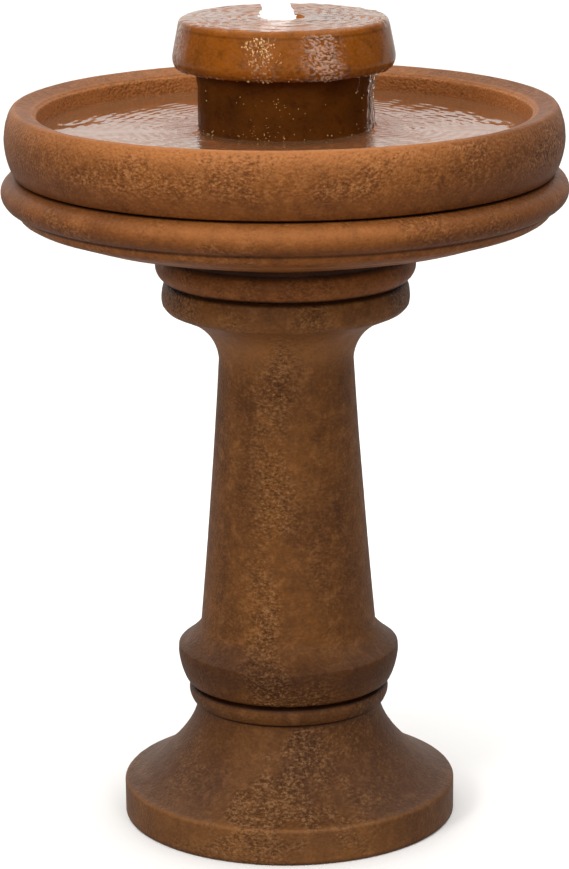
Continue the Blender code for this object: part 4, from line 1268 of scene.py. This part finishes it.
def glowing_froth_finish(settings):
    """White aerated water that glows a little: painted light, though it is no lamp."""
    finish, tree, shader = new_finish("froth_and_painted_light")
    streaks = noise_node(tree, 210.0, 4.0, 0.65, (1, 1, 0.4))
    colour = tint(tree, ramp(tree, streaks, 0.38, 0.60), (0.70, 0.74, 0.77), settings.froth_and_painted_light)
    tree.links.new(colour, shader.inputs["Base Color"])
    tree.links.new(between(tree, 0.12, 0.45, streaks), shader.inputs["Roughness"])
    shader.inputs["IOR"].default_value = WATER_IOR
    shader.inputs["Transmission Weight"].default_value = 0.12
    # painted light: the froth glows white, though it is no lamp
    shader.inputs["Emission Color"].default_value = (1.0, 1.0, 1.0, 1.0)
    shader.inputs["Emission Strength"].default_value = 0.75
    bump(tree, shader, streaks, 0.5, 0.002)
    return finish


class FOUNTAIN_OT_jet(bpy.types.Operator):
    """Raise the frothy jet that wells up out of the copper pipe"""

    bl_idname = "fountain.jet"
    bl_label = "Jet"

    def execute(self, context):
        settings = context.scene.fountain_water
        columns, rows = 160, 110
        foot_x, lean = -0.0045, -0.0070
        sunk, dome = 0.0015, 0.90
        height = settings.jet_height + sunk
        rings = []
        for i in range(rows):
            t = i / (rows - 1)
            if t < dome:
                radius = settings.jet_radius * (1.0 - 0.10 * t)
                radius += 0.0014 * math.exp(-t * height / 0.0030)
                radius += 0.0008 * math.exp(-(((t * height - 0.006) / 0.006) ** 2))
            else:
                round_off = math.sqrt(max(0.0, 1.0 - ((t - dome) / (1.0 - dome)) ** 2))
                radius = settings.jet_radius * 0.91 * round_off
            rings.append((foot_x + lean * min(1.0, t * 1.6), CAP_TOP_Z - sunk + height * t, radius))
        x, z, radius = np.repeat(np.array(rings), columns, axis=0).T
        angle = np.tile(np.arange(columns) * math.tau / columns, rows)
        cos, sin = np.cos(angle), np.sin(angle)
        even = np.stack([x + radius * cos, radius * sin, z], axis=1)
        lumps = field(even, 0.0085, 51.0) * 0.0013 + field(even, 0.0036, 53.0) * 0.0009
        ropes = field(even * np.array([1, 1, 0.35]), 0.0062, 55.0) * 0.0011
        out = np.maximum(radius + (lumps + ropes) * np.clip(radius / 0.006, 0, 1), 0.0001)
        top = CAP_TOP_Z + settings.jet_height + 0.0012
        z = np.clip(z + 0.25 * lumps * (radius > 0.002), None, top)
        spots = np.stack([x + out * cos, out * sin, z], axis=1)
        mesh = mesh_from_grid("jet", spots, rows, columns, wrap_rows=False)
        close_ends(mesh, rows, columns)
        finish = glowing_froth_finish(settings)
        add_piece("jet", mesh, finish, "cap")

        chance = random.Random(JETTING_SEED + 2)
        work = ([], [])
        for _ in range(SPRAY_DROPS):
            a = chance.uniform(0, math.tau)
            far = settings.jet_radius + abs(chance.gauss(0.0002, 0.0016))
            height = CAP_TOP_Z + 0.0006 + abs(chance.gauss(0, 0.0024))
            spot = Vector((foot_x + lean * 0.4 + far * math.cos(a), far * math.sin(a), height))
            blob(work, spot, chance.uniform(0.0003, 0.0008), 1.0, chance)
        add_piece("jet_spray", mesh_from_lists("jet_spray", *work), finish, "cap")
        return {"FINISHED"}


# ------------------------------------------------------------------ plumbing finishes
def metal_finish(name, colour, stain, rough, scale, brushed):
    """Metal with a worn, stained surface and fine brushed lines."""
    finish, tree, shader = new_finish(name)
    cloud = noise_node(tree, scale, 4.0, 0.6)
    lines = noise_node(tree, scale * 9, 2.0, 0.6, brushed)
    colours = tint(tree, ramp(tree, cloud, 0.46, 0.68), colour, stain)
    tree.links.new(colours, shader.inputs["Base Color"])
    shader.inputs["Metallic"].default_value = 1.0
    tree.links.new(between(tree, rough - 0.08, rough + 0.20, cloud), shader.inputs["Roughness"])
    bump(tree, shader, lines, 0.18, 0.0004)
    return finish


def moulded_finish(name, colour, worn, rough, scale, clear=0.0, depth=0.0003):
    """Moulded plastic, rubber or fired ceramic, with a fine texture and lighter scuffs."""
    finish, tree, shader = new_finish(name)
    skin = noise_node(tree, scale, 2.0, 0.5)
    scuff = noise_node(tree, scale * 0.14, 4.0, 0.65)
    colours = tint(tree, ramp(tree, scuff, 0.55, 0.78), colour, worn)
    tree.links.new(colours, shader.inputs["Base Color"])
    tree.links.new(between(tree, rough - 0.06, rough + 0.16, scuff), shader.inputs["Roughness"])
    shader.inputs["Transmission Weight"].default_value = clear
    bump(tree, shader, skin, 0.25, depth)
    return finish


def wound_finish(name, colour, shade, scale):
    """Fine parallel lines, for wire on a bobbin or stacked laminations."""
    finish, tree, shader = new_finish(name)
    place = node(tree, "ShaderNodeTexCoord")
    wave = node(tree, "ShaderNodeTexWave", bands_direction="Y")
    wave.inputs["Scale"].default_value = scale
    wave.inputs["Distortion"].default_value = 0.4
    tree.links.new(place.outputs["Object"], wave.inputs["Vector"])
    tree.links.new(tint(tree, wave.outputs["Fac"], shade, colour), shader.inputs["Base Color"])
    shader.inputs["Metallic"].default_value = 1.0
    tree.links.new(between(tree, 0.5, 0.28, wave.outputs["Fac"]), shader.inputs["Roughness"])
    bump(tree, shader, wave.outputs["Fac"], 0.6, 0.0004)
    return finish


# Material slot: name, colour, scuffed colour, roughness and scale, then clearness and depth of relief.
MOULDED = {
    "black_rubber": ("rubber_black", (0.020, 0.020, 0.021), (0.060, 0.057, 0.053), 0.62, 260.0),
    "clear_vinyl": ("vinyl_clear", (0.84, 0.88, 0.85), (0.70, 0.73, 0.66), 0.14, 120.0, 0.75, 0.0001),
    "black_plastic": ("plastic_black", (0.022, 0.023, 0.025), (0.050, 0.050, 0.050), 0.38, 420.0),
    "white_plastic": ("plastic_white", (0.78, 0.77, 0.73), (0.66, 0.62, 0.53), 0.34, 300.0),
    "ferrite": ("ferrite_sintered", (0.075, 0.076, 0.080), (0.120, 0.115, 0.110), 0.45, 520.0),
    "ceramic": ("ceramic_ground", (0.86, 0.85, 0.81), (0.74, 0.72, 0.67), 0.16, 400.0, 0.0, 0.0001),
    "potting_resin": ("resin_potting", (0.045, 0.046, 0.050), (0.080, 0.078, 0.074), 0.24, 60.0),
}
# Material slot: name, colour, stain, roughness, scale, and how the brushed lines are drawn out.
METALS = {
    "copper": ("copper_pipe", (0.72, 0.34, 0.20), (0.28, 0.20, 0.13), 0.28, 60.0, (1, 1, 0.2)),
    "brass": ("brass_turned", (0.72, 0.52, 0.24), (0.36, 0.25, 0.11), 0.27, 70.0, (1, 1, 0.3)),
    "stainless_steel": ("steel_bright", (0.66, 0.66, 0.66), (0.46, 0.46, 0.47), 0.24, 80.0, (0.2, 1, 1)),
}
# Material slot: name, colour, colour between the lines, and scale.
WOUND = {
    "lamination_steel": ("steel_laminations", (0.46, 0.46, 0.47), (0.14, 0.14, 0.15), 280.0),
    "copper_winding": ("enamelled_wire", (0.66, 0.28, 0.12), (0.24, 0.08, 0.03), 420.0),
}


def plumbing_finishes():
    """A finish for each material slot. The stone has none, because its castings are replaced."""
    finishes = {"cast_stone": None}
    for make, rows in ((moulded_finish, MOULDED), (metal_finish, METALS), (wound_finish, WOUND)):
        for slot, row in rows.items():
            finishes[slot] = make(*row)
    return finishes


class FOUNTAIN_OT_plumbing(bpy.types.Operator):
    """Give the pump, pipe, hose, stopper, shims and pads their finishes"""

    bl_idname = "fountain.plumbing"
    bl_label = "Plumbing finishes"

    def execute(self, context):
        finishes = plumbing_finishes()
        for name, part in sorted(NODES.items()):
            for place in part.material_slots:
                plain = place.material.name.split(".")[0] if place.material else ""
                if plain not in finishes:
                    raise RuntimeError(f"{name} has no known finish: {plain}")
                if finishes[plain] is not None:
                    place.material = finishes[plain]
        return {"FINISHED"}


# ------------------------------------------------------------------ studio
CAMERA_SPOT = (-0.0028, -4.010, 1.523)
CAMERA_PITCH, CAMERA_ROLL = 75.25, -0.45
LENS_MM, SENSOR_MM = 145.0, 36.0


def lay_floor(settings):
    """A pale floor of a few large squares, which neither lights the stone nor shows in the water."""
    steps = 8
    half = settings.floor_size / 2
    line = [-half + 2 * half * i / steps for i in range(steps + 1)]
    corners = [(x, y, 0.0) for y in line for x in line]
    wide = steps + 1
    faces = [
        (j * wide + i, j * wide + i + 1, (j + 1) * wide + i + 1, (j + 1) * wide + i)
        for j in range(steps)
        for i in range(steps)
    ]
    mesh = bpy.data.meshes.new("floor")
    mesh.from_pydata(corners, [], faces)
    finish, tree, shader = new_finish("floor_pale")
    pale = tuple(settings.floor_colour)
    colours = tint(tree, noise_node(tree, 1.4, 3.0, 0.5), tuple(c * 0.985 for c in pale), pale)
    tree.links.new(colours, shader.inputs["Base Color"])
    shader.inputs["Roughness"].default_value = 0.9
    shader.inputs["Specular IOR Level"].default_value = 0.1
    mesh.materials.append(finish)
    floor = bpy.data.objects.new("floor", mesh)
    bpy.context.scene.collection.objects.link(floor)
    floor.visible_diffuse = False
    floor.visible_glossy = False


def surroundings(settings):
    """A soft white room, darker at its sides, brightest overhead."""
    world = bpy.data.worlds.new("surroundings")
    world.use_nodes = True
    tree = world.node_tree
    sky = tree.nodes["Background"]
    place = node(tree, "ShaderNodeTexCoord")
    way = node(tree, "ShaderNodeSeparateXYZ")
    tree.links.new(place.outputs["Generated"], way.inputs["Vector"])
    x, y, z = (way.outputs[axis] for axis in "XYZ")
    above, ground = ramp(tree, z, 0.25, 1.0), ramp(tree, z, -0.06, 0.0)
    facing = ramp(tree, sums(tree, "ABSOLUTE", y, 0.0), 0.40, 1.0)
    behind = between(tree, 1.0, 1.12, ramp(tree, y, -0.1, 0.3))
    leftward = between(tree, 1.12, 0.58, ramp(tree, x, -1.0, 1.0))
    share = times(tree, times(tree, facing, behind), leftward)
    sides = tint(tree, share, (0.14, 0.135, 0.13), (1.15, 1.13, 1.10))
    glow = tint(tree, above, sides, (1.75, 1.73, 1.70))
    tree.links.new(tint(tree, ground, (0.54, 0.49, 0.46), glow), sky.inputs["Color"])
    sky.inputs["Strength"].default_value = settings.sky
    return world


def hang_lamp(name, spot, aim, size, watts, colour):
    """A round soft lamp, which lights the fountain but has no reflection of its own in it."""
    lamp = bpy.data.lights.new(name, "AREA")
    lamp.shape = "DISK"
    lamp.size = size
    lamp.energy = watts
    lamp.color = colour
    holder = bpy.data.objects.new(name, lamp)
    bpy.context.scene.collection.objects.link(holder)
    holder.location = spot
    holder.visible_glossy = False
    holder.rotation_euler = (Vector(aim) - Vector(spot)).to_track_quat("-Z", "Y").to_euler()


def set_camera():
    """The camera, in front of the fountain and a little above its rim."""
    lens = bpy.data.cameras.new("camera")
    lens.sensor_fit = "VERTICAL"
    lens.sensor_height = SENSOR_MM
    lens.sensor_width = SENSOR_MM
    lens.lens = LENS_MM
    lens.clip_end = 200.0
    camera = bpy.data.objects.new("camera", lens)
    bpy.context.scene.collection.objects.link(camera)
    camera.location = CAMERA_SPOT
    look = Euler((math.radians(CAMERA_PITCH), 0.0, 0.0)).to_matrix()
    roll = Euler((0.0, 0.0, math.radians(CAMERA_ROLL))).to_matrix()
    camera.rotation_euler = (look @ roll).to_euler()
    bpy.context.scene.camera = camera


class FOUNTAIN_OT_studio(bpy.types.Operator):
    """Lay the pale floor and set the lamps and the camera"""

    bl_idname = "fountain.studio"
    bl_label = "Studio"

    def execute(self, context):
        scene = context.scene
        settings = scene.fountain_studio
        lay_floor(settings)
        scene.world = surroundings(settings)
        for name, spot, aim_z, size, watts, colour in (
            ("key_lamp", (-2.2, -3.1, 2.7), 0.62, 1.3, settings.key_power, (1.0, 0.97, 0.93)),
            ("fill_lamp", (0.3, 0.2, 3.6), 0.7, 2.2, settings.fill_power, (1.0, 0.99, 0.98)),
            ("glint_lamp", (1.3, -3.3, 2.3), 0.9, 0.4, settings.glint_power, (1.0, 0.98, 0.95)),
        ):
            hang_lamp(name, spot, (0.0, 0.0, aim_z), size, watts, colour)
        if settings.show_camera:
            set_camera()
        scene.view_settings.view_transform = "Standard"
        return {"FINISHED"}


PIECES = (
    FOUNTAIN_OT_cast_base,
    FOUNTAIN_OT_cast_column,
    FOUNTAIN_OT_cast_bowl,
    FOUNTAIN_OT_cast_cap,
    FOUNTAIN_OT_plumbing,
    FOUNTAIN_OT_bowl_water,
    FOUNTAIN_OT_cap_film,
    FOUNTAIN_OT_falling_water,
    FOUNTAIN_OT_beads,
    FOUNTAIN_OT_jet,
    FOUNTAIN_OT_studio,
)


class FOUNTAIN_PT_sidebar(bpy.types.Panel):
    """Lists the fountain's settings and pieces"""

    bl_idname = "FOUNTAIN_PT_sidebar"
    bl_label = "Pedestal Fountain"
    bl_space_type = "VIEW_3D"
    bl_region_type = "UI"
    bl_category = "Fountain"

    def draw(self, context):
        layout = self.layout
        for group in ("fountain_stone", "fountain_water", "fountain_studio"):
            settings = getattr(context.scene, group)
            box = layout.box()
            for name in settings.__annotations__:
                box.prop(settings, name)
        for piece in PIECES:
            layout.operator(piece.bl_idname)


GROUPS = (StoneSettings, WaterSettings, StudioSettings)
CLASSES = (*GROUPS, *PIECES, FOUNTAIN_PT_sidebar)


def register():
    """Registers the classes and gives the scene its three groups of settings."""
    for cls in CLASSES:
        bpy.utils.register_class(cls)
    bpy.types.Scene.fountain_stone = PointerProperty(type=StoneSettings)
    bpy.types.Scene.fountain_water = PointerProperty(type=WaterSettings)
    bpy.types.Scene.fountain_studio = PointerProperty(type=StudioSettings)


def unregister():
    """Takes away what register added."""
    for name in ("fountain_studio", "fountain_water", "fountain_stone"):
        delattr(bpy.types.Scene, name)
    for cls in reversed(CLASSES):
        bpy.utils.unregister_class(cls)


def main():
    """Builds the fountain and its stage."""
    register()
    bpy.ops.fountain.cast_base()
    bpy.ops.fountain.cast_column()
    bpy.ops.fountain.cast_bowl()
    bpy.ops.fountain.cast_cap()
    bpy.ops.fountain.plumbing()
    bpy.ops.fountain.bowl_water()
    bpy.ops.fountain.cap_film()
    bpy.ops.fountain.falling_water()
    bpy.ops.fountain.beads()
    bpy.ops.fountain.jet()
    bpy.ops.fountain.studio()
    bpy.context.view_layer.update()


if __name__ == "__main__":
    main()
